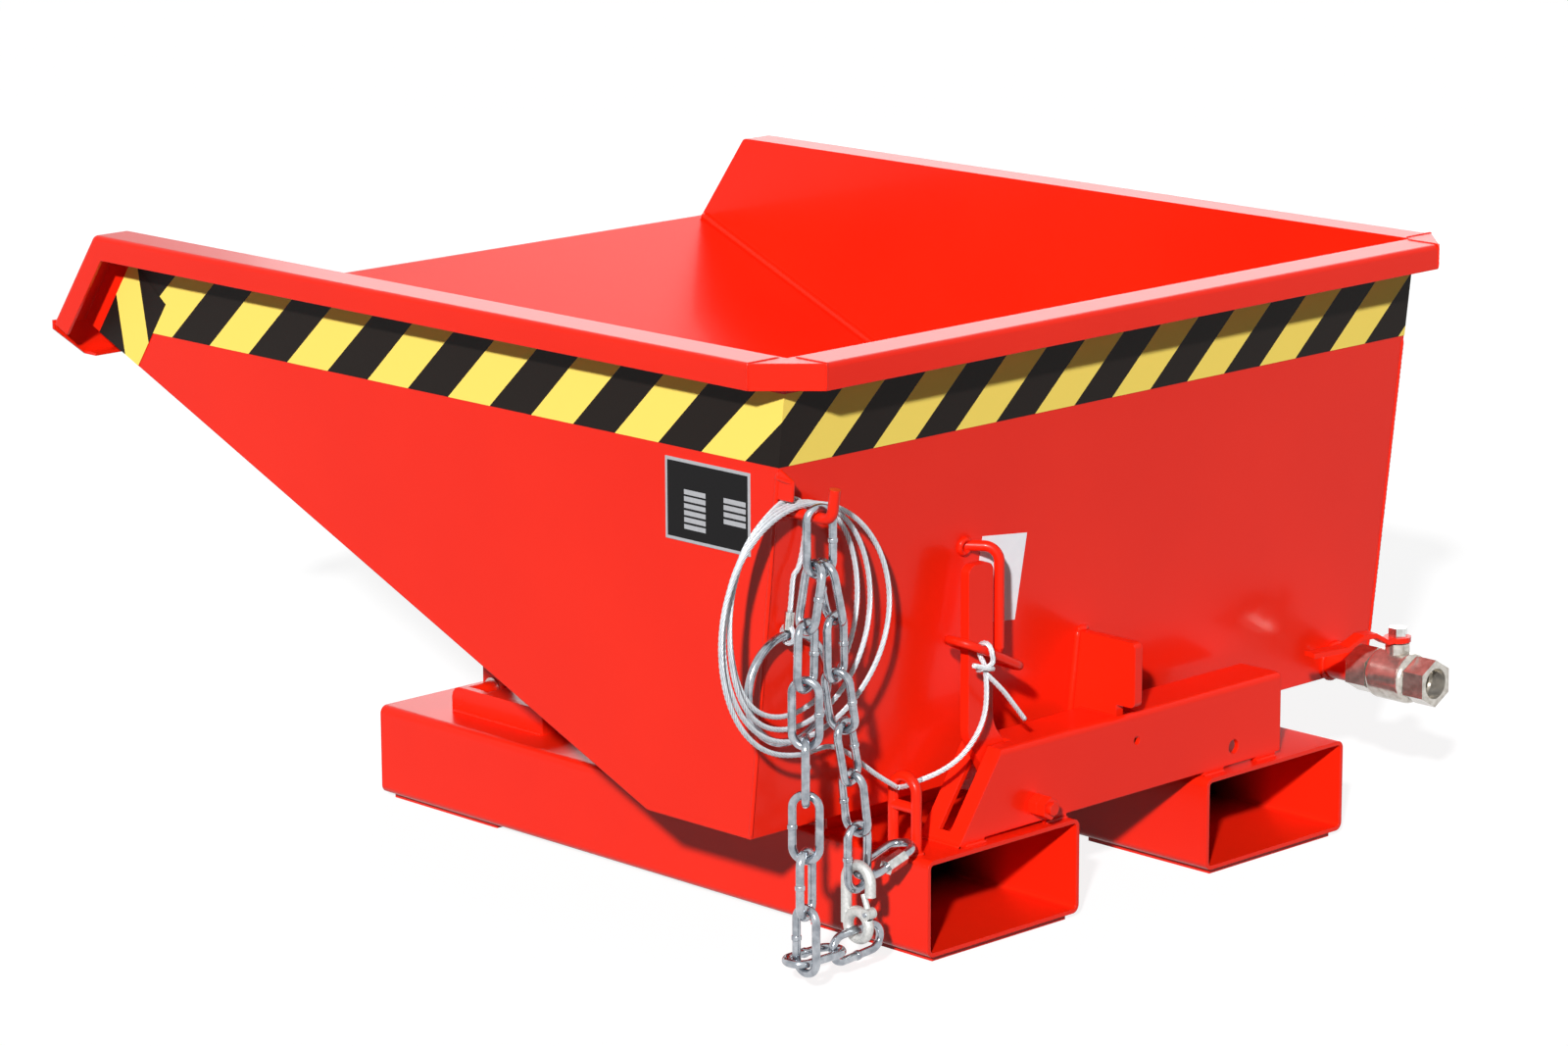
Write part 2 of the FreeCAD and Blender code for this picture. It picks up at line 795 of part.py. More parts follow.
valve_z = bottom_z + valve_above_bottom
nipple_end_x = wall_x(valve_z) - nipple_length
wall_outline = [
    (wall_bottom_x, bottom_z),
    (wall_top_x, overall_height),
    (wall_top_x + wall_sheet, overall_height),
    (wall_bottom_x + wall_sheet, bottom_z),
]
wall_sheet_solid = plate("y", wall_outline, -inside_half, inside_half)
rear_web = plate(
    "y",
    [
        (rim_rear_x, overall_height),
        (wall_top_x, overall_height),
        (wall_x(overall_height - sheet), overall_height - sheet),
        (rim_rear_x, overall_height - sheet),
    ],
    -rim_rear_half,
    rim_rear_half,
)
rear_lip = box(
    rim_rear_x,
    rim_rear_x + sheet,
    -rim_rear_half,
    rim_rear_half,
    overall_height - rim_lip,
    overall_height,
)
rear_wall = fused(wall_sheet_solid, rear_web, rear_lip)
rear_bend = []
for edge in rear_wall.Edges:
    bounds = edge.BoundBox
    if bounds.XMax < rim_rear_x + seat_clearance and bounds.ZMin > overall_height - seat_clearance:
        rear_bend.append(edge)
rear_wall = rear_wall.makeFillet(rim_bend_radius, rear_bend)
nipple_solid = cylinder(
    vec(nipple_end_x, valve_y, valve_z), vec(wall_x(valve_z) + sheet / 2, valve_y, valve_z), nipple_diameter
)
wall_hole = cylinder(
    vec(nipple_end_x, valve_y, valve_z),
    vec(wall_bottom_x + wall_sheet + cut_overrun, valve_y, valve_z),
    nipple_diameter,
)
save("rear_wall", rear_wall.cut(wall_hole))

rim_edge_along = vec(lip_back_x - front_edge_x, 0, lip_top_z - overall_height).normalize()
rim_edge_in = vec(rim_edge_along.z, 0, -rim_edge_along.x)
panel_outline = [
    (wall_bottom_x, bottom_z),
    (slope_start_x, bottom_z),
    (lip_back_x, slope_z(lip_back_x)),
    (lip_back_x, lip_top_z),
    (front_edge_x, overall_height),
    (wall_top_x, overall_height),
]
panel_radii = [0, 0, 0, 0, rim_front_radius, 0]
rim_outline = [
    (rim_side_rear_x, slope_z(front_edge_x)),
    (front_edge_x, slope_z(front_edge_x)),
    (lip_back_x, slope_z(lip_back_x)),
    (lip_back_x, lip_top_z),
    (front_edge_x, overall_height),
    (rim_side_rear_x, overall_height),
]


def rim_band(width, low, high):
    # Strip of one width along the top edge and down the slanted front edge of a side panel.
    inner_z = overall_height - width
    edge_point = vec(front_edge_x, 0, overall_height) + rim_edge_in * width
    inner_corner = edge_point + rim_edge_along * ((inner_z - edge_point.z) / rim_edge_along.z)
    far_end = inner_corner + rim_edge_along * overall_height
    inner_radius = max(rim_front_radius - width, 0)
    inner = [
        (rim_side_rear_x - cut_overrun, inner_z),
        (inner_corner.x, inner_z),
        (far_end.x, far_end.z),
        (rim_side_rear_x - cut_overrun, far_end.z),
    ]
    whole = plate("y", rim_outline, low, high, panel_radii)
    return whole.cut(plate("y", inner, low - cut_overrun, high + cut_overrun, [0, inner_radius, 0, 0]))


for name, side in (("left", 1), ("right", -1)):
    low, high = sorted((side * inside_half, side * body_half))
    panel = plate("y", panel_outline, low, high, panel_radii)
    low, high = sorted((side * body_half, side * rim_half))
    web_band = rim_band(sheet, low, high)
    low, high = sorted((side * (rim_half - sheet), side * rim_half))
    lip_band = rim_band(rim_lip, low, high)
    panel = fused(panel, web_band, lip_band)
    rim_edges = []
    for edge in panel.Edges:
        bounds = edge.BoundBox
        on_side = abs(side * bounds.Center.y - rim_half) < seat_clearance and bounds.YLength < seat_clearance
        on_top = bounds.ZMin > overall_height - rim_front_radius - seat_clearance
        on_front = bounds.XMin > front_edge_x - rim_front_radius and bounds.XMax > lip_back_x - seat_clearance
        if on_side and (on_top or on_front and bounds.ZMin > lip_top_z - seat_clearance):
            rim_edges.append(edge)
    save(name + "_side_panel", panel.makeFillet(rim_bend_radius, rim_edges))

patches = []
for side in (1, -1):
    web_points = [
        (rim_side_rear_x, side * rim_half),
        (rim_rear_x, side * rim_rear_half),
        (wall_top_x, side * rim_rear_half),
        (wall_top_x, side * body_half),
        (rim_side_rear_x, side * body_half),
    ]
    patch_web = plate("z", web_points, overall_height - sheet, overall_height)
    inset = sheet * math.sqrt(2)
    lip_points = [
        (rim_side_rear_x, side * rim_half),
        (rim_rear_x, side * rim_rear_half),
        (rim_rear_x + inset, side * rim_rear_half),
        (rim_side_rear_x, side * (rim_half - inset)),
    ]
    patch_lip = plate("z", lip_points, overall_height - rim_lip, overall_height - sheet)
    patches.append(fused(patch_web, patch_lip))
save("rim_corner_patches", *patches)

# Catch plate: passes down through the notch of the crossbar.
catch_rear_x = web_rear_x - catch_rear_gap
tongue_x = catch_rear_x + catch_tongue_reach
catch_outline = [
    (wall_x(catch_top), catch_top),
    (catch_rear_x, catch_top),
    (catch_rear_x, catch_step),
    (tongue_x, catch_step),
    (tongue_x, catch_bottom),
    (wall_bottom_x, catch_bottom),
    (wall_bottom_x, bottom_z),
]
catch_radii = [0, catch_corner_radius, catch_corner_radius, 0, 0, 0, 0]
catch_y0 = catch_centre_y - catch_thickness / 2
save("catch_plate", plate("y", catch_outline, catch_y0, catch_y0 + catch_thickness, catch_radii))

# Keeper hook: round bar from the wall, turned down beside the lever to a cone point.
keeper_x = wall_x(keeper_height) - keeper_reach - keeper_diameter / 2
keeper_points = [
    vec(wall_x(keeper_height) + cut_overrun, keeper_root_y, keeper_height),
    vec(keeper_x, keeper_leg_y, keeper_height),
    vec(keeper_x, keeper_leg_y, keeper_tip_height),
]
keeper = bent_bar(keeper_points, [0, keeper_bend_radius, 0], keeper_diameter)
keeper_point = Part.makeCone(
    keeper_diameter / 2, keeper_diameter / 6, keeper_point_length, keeper_points[-1], vec(0, 0, -1)
)
behind_wall = plate(
    "y",
    [
        (wall_bottom_x, bottom_z),
        (wall_top_x, overall_height),
        (slope_start_x, overall_height),
        (slope_start_x, bottom_z),
    ],
    -body_half,
    body_half,
)
save("keeper_hook", fused(keeper.cut(behind_wall), keeper_point))

# Storage hook: round bar out of the wall, turned up at its end.
store_x = wall_x(store_height) - store_reach
store_points = [
    vec(wall_x(store_height) + cut_overrun, store_y, store_height),
    vec(store_x, store_y, store_height),
    vec(store_x - store_lean, store_y, store_height + store_rise),
]
store_hook = bent_bar(store_points, [0, store_bend_radius, 0], store_diameter)
save("storage_hook", store_hook.cut(behind_wall))

# Chain: one link over the storage hook, two strands hanging from it.
link_length = link_inner_length + link_wire
link_pitch_gap = link_wire + link_gap
link_half = (link_inner_width + link_wire) / 2
chain_x = store_x + chain_from_hook_end
first_top = vec(chain_x, store_y, store_height + store_diameter / 2 + link_wire / 2 + seat_clearance)
first_bottom = first_top - vec(0, 0, link_length)
first_side = turned(first_link_turn)
first_link = link(first_top, first_bottom, first_side, link_wire, link_inner_width)


def strand(start, turns, side_shares, wall_shares):
    links = []
    bottom = None
    for turn, side_share, wall_share in zip(turns, side_shares, wall_shares):
        fall = math.sqrt(1 - side_share * side_share - wall_share * wall_share)
        along = vec(wall_share, side_share, -fall)
        top = bottom - (before + along).normalize() * link_pitch_gap if links else start
        bottom = top + along * link_length
        links.append(link(top, bottom, turned(turn), link_wire, link_inner_width))
        before = along
    return links, bottom


pair_top = first_bottom + vec(0, 0, link_pitch_gap + pair_raise)
left_links, left_end = strand(
    pair_top + first_side * pair_offset, left_turns, left_side_shares, [0] * len(left_turns)
)
right_links, right_end = strand(
    pair_top - first_side * pair_offset, right_turns, right_side_shares, right_wall_shares
)

# The left strand ends in one link lying flat and one standing on edge, which holds the hook's eye.
flat_z = left_end.z + link_pitch_gap
flat_start = vec(left_end.x + link_half, left_end.y + link_pitch_gap, flat_z)
flat_end = flat_start - vec(0, link_length, 0)
flat_link = link(flat_start, flat_end, vec(1, 0, 0), link_wire, link_inner_width)
eye_z = right_end.z + link_wire / 2 + hook_above_link_end + quick_above_link_end
eye_z = eye_z + hook_bar / 2 - hook_bowl_rise - hook_bowl_radius
hook_x = right_end.x - hook_side
hook_y = right_end.y + link_inner_width / 2 - hook_bar / 2 - hook_from_leg
edge_z = eye_z - hook_eye_radius + hook_bar / 2 + link_wire / 2 + link_gap - link_half
edge_start = vec(hook_x, flat_end.y + link_pitch_gap + edge_slack, flat_z)
edge_along = vec(0, hook_y - edge_start.y, edge_z - flat_z).normalize()
edge_end = edge_start + edge_along * link_length
edge_link = link(edge_start, edge_end, vec(0, 0, 1), link_wire, link_inner_width)
save("chain_left_strand", first_link, *left_links, flat_link, edge_link)
save("chain_right_strand", *right_links)


def on_hook(side, rise):
    return vec(hook_x - side, hook_y, eye_z + rise)


# Safety hook: forged eye, back, bowl and tip; the gate closes its mouth from inside.
eye = Part.makeTorus(hook_eye_radius, hook_bar / 2, on_hook(0, 0), vec(0, 1, 0))
back = Part.LineSegment(on_hook(-hook_bowl_radius, 0), on_hook(-hook_bowl_radius, hook_bowl_rise)).toShape()
bowl = Part.Arc(
    on_hook(-hook_bowl_radius, hook_bowl_rise),
    on_hook(0, hook_bowl_rise + hook_bowl_radius),
    on_hook(hook_bowl_radius, hook_bowl_rise),
).toShape()
tip_rise = hook_bowl_rise - hook_tip_drop
tip_start = on_hook(hook_bowl_radius, hook_bowl_rise)
tip = Part.LineSegment(tip_start, on_hook(hook_bowl_radius, tip_rise)).toShape()
hook_body = swept([back, bowl, tip], hook_bar)
lug = cylinder(
    on_hook(gate_pivot_side, gate_pivot_rise) - vec(0, hook_bar / 2, 0),
    on_hook(gate_pivot_side, gate_pivot_rise) + vec(0, hook_bar / 2, 0),
    2 * gate_eye_radius,
)
gate_room = cylinder(
    on_hook(gate_pivot_side, gate_pivot_rise) - vec(0, gate_eye_width / 2 + seat_clearance, 0),
    on_hook(gate_pivot_side, gate_pivot_rise) + vec(0, gate_eye_width / 2 + seat_clearance, 0),
    2 * gate_eye_radius + 2 * gate_room_clearance,
)
rivet_start = on_hook(gate_pivot_side, gate_pivot_rise) - vec(0, rivet_length / 2, 0)
rivet_end = on_hook(gate_pivot_side, gate_pivot_rise) + vec(0, rivet_length / 2, 0)
rivet = cylinder(rivet_start, rivet_end, rivet_diameter)
save("safety_hook", fused(eye, hook_body, lug).cut(gate_room).cut(rivet))
save("gate_rivet", rivet)
gate_hole = cylinder(rivet_start, rivet_end, rivet_diameter + 2 * running_clearance)
gate_eye = cylinder(
    on_hook(gate_pivot_side, gate_pivot_rise) - vec(0, gate_eye_width / 2, 0),
    on_hook(gate_pivot_side, gate_pivot_rise) + vec(0, gate_eye_width / 2, 0),
    2 * gate_eye_radius,
)
gate_arm = cylinder(
    on_hook(gate_pivot_side, gate_pivot_rise), on_hook(gate_end_side, gate_end_rise), gate_wire
)
save("hook_gate", fused(gate_eye, gate_arm).cut(gate_hole))

# Quick link round one leg of the last chain link, with its screw sleeve on the outer leg.
quick_half = (quick_inner_width + quick_wire) / 2
quick_y = right_end.y - link_half + (link_wire + quick_wire) / 2 + link_gap
quick_start = vec(right_end.x, quick_y, right_end.z + quick_above_link_end)
quick_length = quick_inner_length + quick_wire
quick_run = math.sqrt(quick_length * quick_length - quick_rise * quick_rise)
quick_end = quick_start + vec(0, -quick_run, quick_rise)
quick_link = link(quick_start, quick_end, vec(1, 0, 0), quick_wire, quick_inner_width)
save("quick_link", quick_link)
quick_along = (quick_end - quick_start).normalize()
sleeve_start = (quick_start + quick_end) / 2 - quick_along * (sleeve_length / 2) - vec(quick_half, 0, 0)
sleeve_side = vec(1, 0, 0)
sleeve_up = quick_along.cross(sleeve_side)
sleeve_ring = []
for step in range(6):
    angle = math.radians(60 * step)
    reach = sleeve_across_flats / math.sqrt(3)
    sleeve_ring.append(
        sleeve_start + sleeve_side * (reach * math.cos(angle)) + sleeve_up * (reach * math.sin(angle))
    )
sleeve = Part.Face(Part.makePolygon(sleeve_ring + sleeve_ring[:1])).extrude(quick_along * sleeve_length)
sleeve_bore = cylinder(
    sleeve_start - quick_along * cut_overrun,
    sleeve_start + quick_along * (sleeve_length + cut_overrun),
    quick_wire,
)
save("quick_link_sleeve", sleeve.cut(sleeve_bore))

# Rope coil over the storage hook: one unbroken tube from the ferrule at the pull ring to the lead.
rope_top_z = store_height + store_diameter / 2 + rope / 2 + seat_clearance
coil_x = wall_x(rope_top_z) - coil_from_wall


def coil_place(turn):
    share = turn / coil_turns
    angle = 2 * math.pi * turn
    half_width = coil_small_half_width + (coil_large_half_width - coil_small_half_width) * share
    half_height = coil_small_half_height + (coil_large_half_height - coil_small_half_height) * share
    return vec(
        coil_x - coil_pitch * turn,
        store_y + half_width * math.sin(angle),
        rope_top_z - half_height * (1 - math.cos(angle)),
    )


def coil_along(turn):
    small = 0.0001
    return (coil_place(turn + small) - coil_place(turn - small)).normalize()


pull_x = wall_x(pull_height) - pull_from_wall - pull_wire / 2
pull_centre = vec(pull_x, pull_y, pull_height)
pull_ring = Part.makeTorus(pull_radius, pull_wire / 2, pull_centre, vec(1, 0, 0))
save("pull_ring", pull_ring)
ring_top = pull_centre + vec(0, 0, pull_radius)
rope_eye = Part.makeTorus(rope_eye_radius, rope / 2, ring_top, vec(0, 1, 0))
tail_top = vec(coil_x, store_y - tail_side, store_height - tail_side)
tail_along = (tail_top - ring_top).normalize()
ferrule_start = ring_top + tail_along * (rope_eye_radius - rope / 2)
ferrule_end = ferrule_start + tail_along * ferrule_length
ferrule = cylinder(ferrule_start, ferrule_end, ferrule_diameter).cut(pull_ring)
save("rope_ferrule", ferrule)
save("rope_eye", rope_eye.cut(ferrule))
coil_edges = [Part.LineSegment(ferrule_end, tail_top).toShape()]
coil_edges += biarc(tail_top, tail_along, coil_place(0), coil_along(0))
step_count = round(coil_turns * coil_steps_per_turn)
for step in range(step_count):
    from_turn = step / coil_steps_per_turn
    to_turn = (step + 1) / coil_steps_per_turn
    coil_edges += biarc(
        coil_place(from_turn), coil_along(from_turn), coil_place(to_turn), coil_along(to_turn)
    )
coil_end = coil_place(coil_turns) + coil_along(coil_turns) * rope
coil_edges.append(Part.LineSegment(coil_place(coil_turns), coil_end).toShape())
coil = swept(coil_edges, rope)
coil_length = sum(edge.Length for edge in coil_edges)
print("coil length", round(coil_length), "ratio", coil.Volume / (coil_length * math.pi * rope * rope / 4))
samples = []
for edge in coil_edges:
    samples += [vec(p.x, p.y, p.z) for p in edge.discretize(max(3, int(edge.Length / rope)))]
least = min(
    (samples[i] - samples[j]).Length for i in range(len(samples)) for j in range(i + 12, len(samples))
)
print("coil least gap to itself", round(least - rope, 2))
save("rope_coil", coil)
lead_turn = coil_end + coil_along(coil_turns) * lead_first_run
save("rope_lead_left", lead_tube([coil_end, lead_turn] + [vec(*p) for p in lead_a_points], "left lead"))
save("rope_through_staple", lead_tube([vec(*p) for p in lead_s_points], "staple rope"))

# Knot on the release ring: a loop round the ring bar, the knot, its long tail and its stub.
knot_loop_y = ring_centre.y + knot_side
knot_loop_z = ring_centre.z + knot_side * math.tan(tilt) + ring_diameter / 2 / math.cos(tilt)
knot_loop_z = knot_loop_z - knot_loop_radius + rope / 2 + seat_clearance
knot_loop_centre = vec(ring_centre.x - ring_half_width, knot_loop_y, knot_loop_z)
knot_loop = Part.makeTorus(knot_loop_radius, rope / 2, knot_loop_centre, vec(0, 1, 0))
knot_centre = knot_loop_centre - vec(0, 0, knot_drop)
knot_ball = Part.makeSphere(knot_radius, knot_centre)
knot_tail = cylinder(knot_centre, knot_centre - vec(0, knot_tail_side, knot_tail_drop), rope)
knot_stub = cylinder(knot_centre, knot_centre + vec(0, knot_stub_side, knot_stub_rise), rope)
save("rope_knot", knot_ball.fuse([knot_loop, knot_tail, knot_stub]))
lead_b = lead_tube([vec(*p) for p in lead_b_points] + [knot_centre], "right lead")
save("rope_lead_right", lead_b.cut(knot_ball))

# Drain: nipple in the rear wall, ball valve on it, lever handle across the pipe when shut.
nipple_hollow = cylinder(
    vec(nipple_end_x - cut_overrun, valve_y, valve_z),
    vec(wall_bottom_x + wall_sheet + cut_overrun, valve_y, valve_z),
    nipple_bore,
)
save("drain_nipple", nipple_solid.cut(nipple_hollow))
valve_rear_x = nipple_end_x - valve_length
valve_middle = vec(nipple_end_x - valve_length / 2, valve_y, valve_z)
near_hex = hex_prism(
    vec(nipple_end_x - valve_hex_length, valve_y, valve_z), vec(1, 0, 0), valve_hex, valve_hex_length
)
far_hex = hex_prism(vec(valve_rear_x, valve_y, valve_z), vec(1, 0, 0), valve_hex, valve_hex_length)
barrel_half = valve_length / 2 - valve_hex_length
barrel = cylinder(
    valve_middle - vec(barrel_half, 0, 0), valve_middle + vec(barrel_half, 0, 0), valve_barrel_diameter
)
barrel = barrel.makeFillet(valve_barrel_round, [edge for edge in barrel.Edges if edge.Closed])
valve_boss = cylinder(valve_middle, valve_middle + vec(0, 0, valve_boss_height), valve_boss_diameter)
flow = cylinder(
    valve_middle - vec(valve_length, 0, 0), valve_middle + vec(valve_length, 0, 0), valve_bore
)
socket = cylinder(
    vec(valve_rear_x - cut_overrun, valve_y, valve_z),
    vec(valve_rear_x + valve_socket_depth, valve_y, valve_z),
    valve_socket_diameter,
)
ball_room = Part.makeSphere(ball_diameter / 2 + seat_clearance, valve_middle)
stem_bottom = valve_middle + vec(0, 0, ball_diameter / 2 - stem_slot_depth)
handle_z = valve_z + valve_boss_height + handle_gap
stem_top = valve_middle + vec(0, 0, valve_boss_height + handle_gap + handle_thickness + stem_nut_height)
stem_room = cylinder(stem_bottom, stem_top, stem_diameter + 2 * running_clearance)
save("valve_body", fused(near_hex, far_hex, barrel, valve_boss).cut([flow, socket, ball_room, stem_room]))
stem = cylinder(stem_bottom, stem_top, stem_diameter)
save("valve_stem", stem)
ball_flow = cylinder(
    valve_middle - vec(0, valve_length, 0), valve_middle + vec(0, valve_length, 0), valve_bore
)
save("valve_ball", Part.makeSphere(ball_diameter / 2, valve_middle).cut([ball_flow, stem]))
flat_1, flat_2, flat_3, flat_4 = [share * handle_length for share in handle_flat_shares]
handle_profile = [
    (0, 0),
    (flat_1, 0),
    (flat_2, handle_hump),
    (flat_3, handle_hump),
    (flat_4, 0),
    (handle_length, 0),
    (handle_length, handle_thickness),
    (flat_4, handle_thickness),
    (flat_3, handle_hump + handle_thickness),
    (flat_2, handle_hump + handle_thickness),
    (flat_1, handle_thickness),
    (0, handle_thickness),
]
handle_points = [(valve_y + along, handle_z + up) for along, up in handle_profile]
handle_strip = plate(
    "x", handle_points, valve_middle.x - handle_width / 2, valve_middle.x + handle_width / 2
)
handle_round = cylinder(
    vec(valve_middle.x, valve_y, handle_z),
    vec(valve_middle.x, valve_y, handle_z + handle_thickness),
    handle_hub_diameter,
)
handle = fused(handle_strip, handle_round).cut(stem)
handle.rotate(valve_middle, vec(0, 0, 1), -handle_turn)
save("valve_handle", handle)
nut_bottom = vec(valve_middle.x, valve_y, handle_z + handle_thickness)
save("valve_stem_nut", hex_prism(nut_bottom, vec(0, 0, 1), stem_nut_width, stem_nut_height).cut(stem))

for node, count, volume, valid, bounds in saved:
    print(node, count, volume, valid, round(bounds.XMin, 1), round(bounds.XMax, 1), round(bounds.YMin, 1),
          round(bounds.YMax, 1), round(bounds.ZMin, 1), round(bounds.ZMax, 1))
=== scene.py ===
import bpy
import math
import random
from mathutils import Matrix, Vector


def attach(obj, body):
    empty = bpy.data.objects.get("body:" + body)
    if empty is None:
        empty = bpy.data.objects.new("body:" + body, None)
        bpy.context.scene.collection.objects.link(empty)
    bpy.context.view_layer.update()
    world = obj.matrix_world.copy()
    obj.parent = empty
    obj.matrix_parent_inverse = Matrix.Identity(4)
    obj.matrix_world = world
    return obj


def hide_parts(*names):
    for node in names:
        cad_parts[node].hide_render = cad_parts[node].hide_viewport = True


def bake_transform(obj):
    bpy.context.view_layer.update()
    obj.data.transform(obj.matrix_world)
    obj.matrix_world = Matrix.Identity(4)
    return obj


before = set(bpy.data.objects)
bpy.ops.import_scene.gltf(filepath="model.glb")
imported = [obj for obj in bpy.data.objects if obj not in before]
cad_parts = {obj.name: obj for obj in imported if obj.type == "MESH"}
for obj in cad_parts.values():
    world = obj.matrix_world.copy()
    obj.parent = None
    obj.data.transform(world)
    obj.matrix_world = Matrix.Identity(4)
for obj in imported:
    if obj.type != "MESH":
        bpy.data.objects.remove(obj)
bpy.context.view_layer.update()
bpy.ops.object.select_all(action="DESELECT")
random.seed(7)
mm = 0.001
print("frame loaded:", len(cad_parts), "nodes")

# camera: the photo's place and angle, frame 1600 x 1067
shot = {
    "azimuth": 225.822,
    "elevation": 12.993,
    "roll": -0.262,
    "place": (-3.4490, 3.3302, 1.3840),
    "lens": 113.82,
    "sensor": 36.0,
    "clipEnd": 60.0,
}


def addCamera():
    azimuth, elevation, roll = (math.radians(shot[k]) for k in ("azimuth", "elevation", "roll"))
    back = Vector((
        math.sin(azimuth) * math.cos(elevation),
        -math.cos(azimuth) * math.cos(elevation),
        math.sin(elevation),
    ))
    right = Vector((0, 0, 1)).cross(back).normalized()
    up = back.cross(right)
    turnedRight = right * math.cos(roll) + up * math.sin(roll)
    turnedUp = up * math.cos(roll) - right * math.sin(roll)
    data = bpy.data.cameras.new("photoCamera")
    data.sensor_fit = "HORIZONTAL"
    data.sensor_width = shot["sensor"]
    data.lens = shot["lens"]
    data.clip_end = shot["clipEnd"]
    camera = bpy.data.objects.new("photoCamera", data)
    bpy.context.scene.collection.objects.link(camera)
    place = Matrix((turnedRight, turnedUp, back)).transposed().to_4x4()
    place.translation = Vector(shot["place"])
    camera.matrix_world = place
    bpy.context.scene.camera = camera


addCamera()
print("camera set")

# materials
mixSocket = {"factor": 0, "first": 6, "second": 7, "result": 2}  # of a Mix node that mixes colours


def hexColour(text):
    parts = [int(text[i:i + 2], 16) / 255 for i in (0, 2, 4)]
    return [c / 12.92 if c <= 0.04045 else ((c + 0.055) / 1.055) ** 2.4 for c in parts] + [1.0]


def addNode(tree, kind, values=None, links=None, **settings):
    node = tree.nodes.new(kind)
    for name, value in settings.items():
        setattr(node, name, value)
    for socket, value in (values or {}).items():
        node.inputs[socket].default_value = value
    for socket, source in (links or {}).items():
        tree.links.new(source, node.inputs[socket])
    return node


def startMaterial(name):
    material = bpy.data.materials.new(name)
    material.use_nodes = True
    tree = material.node_tree
    tree.nodes.clear()
    place = addNode(tree, "ShaderNodeTexCoord").outputs["Object"]
    return material, tree, place


def endMaterial(tree, values, links):
    shader = addNode(tree, "ShaderNodeBsdfPrincipled", values, links)
    addNode(tree, "ShaderNodeOutputMaterial", links={"Surface": shader.outputs["BSDF"]})


# fork tubes: past a hand's breadth into each end the red inside is painted near-black, painted shade for
# the dark depth of each tube
tubeShade = {
    "middle": (-0.1205, 0.189, 0.051),
    "half": (0.3805, 0.0965, 0.0415),
    "shadeDepths": (0.085, 0.165),
    # near-black of the painted shade deep in the tubes
    "paintedShade": "241D1B",
}


def paintTubeShade(tree, place, paint):
    split = addNode(tree, "ShaderNodeSeparateXYZ", links={"Vector": place})
    bothTubes = addNode(tree, "ShaderNodeMath", links={0: split.outputs["Y"]}, operation="ABSOLUTE")
    away = []
    sources = (split.outputs["X"], bothTubes.outputs[0], split.outputs["Z"])
    for middle, source in zip(tubeShade["middle"], sources):
        shifted = addNode(tree, "ShaderNodeMath", {1: middle}, {0: source}, operation="SUBTRACT")
        distance = addNode(tree, "ShaderNodeMath", links={0: shifted.outputs[0]}, operation="ABSOLUTE")
        away.append(distance.outputs[0])
    halfLength, halfWidth, halfHeight = tubeShade["half"]
    shadeStart, shadeFull = tubeShade["shadeDepths"]
    mask = addNode(
        tree, "ShaderNodeMapRange",
        {
            "From Min": halfLength - shadeFull, "From Max": halfLength - shadeStart,
            "To Min": 1.0, "To Max": 0.0,
        },
        {"Value": away[0]},
    ).outputs["Result"]
    for half, distance in ((halfWidth, away[1]), (halfHeight, away[2])):
        within = addNode(tree, "ShaderNodeMath", {1: half}, {0: distance}, operation="LESS_THAN")
        both = addNode(tree, "ShaderNodeMath", links={0: mask, 1: within.outputs[0]}, operation="MULTIPLY")
        mask = both.outputs[0]
    # painted shade: inside the tubes the red turns near-black between the two shade depths
    mixed = addNode(
        tree, "ShaderNodeMix", {mixSocket["second"]: hexColour(tubeShade["paintedShade"])},
        {mixSocket["factor"]: mask, mixSocket["first"]: paint}, data_type="RGBA",
    )
    return mixed.outputs[mixSocket["result"]]


# sprayed gloss enamel on sheet steel: even strong red, faint orange peel, clear highlights
enamel = {
    "red": "F2260C",
    "deep": "E61E09",
    "drift": 200 * mm,  # the tone changes slowly over a sheet
    "driftDetail": 3.0,
    "peelSize": 2.6 * mm,
    "peelDetail": 1.0,
    "peel": 0.05,
    "peelDepth": 0.4 * mm,
    "edge": 1.2 * mm,
    "edgeSamples": 4,
    "shader": {"Roughness": 0.32, "Specular IOR Level": 0.17, "Coat Weight": 0.1, "Coat Roughness": 0.11},
}


def redEnamel(name, shadedInside=False):
    material, tree, place = startMaterial(name)
    drift = addNode(
        tree, "ShaderNodeTexNoise",
        {"Scale": 1 / enamel["drift"], "Detail": enamel["driftDetail"]}, {"Vector": place},
    )
    colour = addNode(
        tree, "ShaderNodeMix",
        {mixSocket["first"]: hexColour(enamel["red"]), mixSocket["second"]: hexColour(enamel["deep"])},
        {mixSocket["factor"]: drift.outputs["Fac"]}, data_type="RGBA",
    )
    paint = colour.outputs[mixSocket["result"]]
    # painted shade deep inside the fork tubes
    if shadedInside:
        paint = paintTubeShade(tree, place, paint)
    peel = addNode(
        tree, "ShaderNodeTexNoise",
        {"Scale": 1 / enamel["peelSize"], "Detail": enamel["peelDetail"]}, {"Vector": place},
    )
    edge = addNode(tree, "ShaderNodeBevel", {"Radius": enamel["edge"]}, samples=enamel["edgeSamples"])
    bump = addNode(
        tree, "ShaderNodeBump", {"Strength": enamel["peel"], "Distance": enamel["peelDepth"]},
        {"Height": peel.outputs["Fac"], "Normal": edge.outputs["Normal"]},
    )
    endMaterial(tree, enamel["shader"], {"Base Color": paint, "Normal": bump.outputs["Normal"]})
    return material


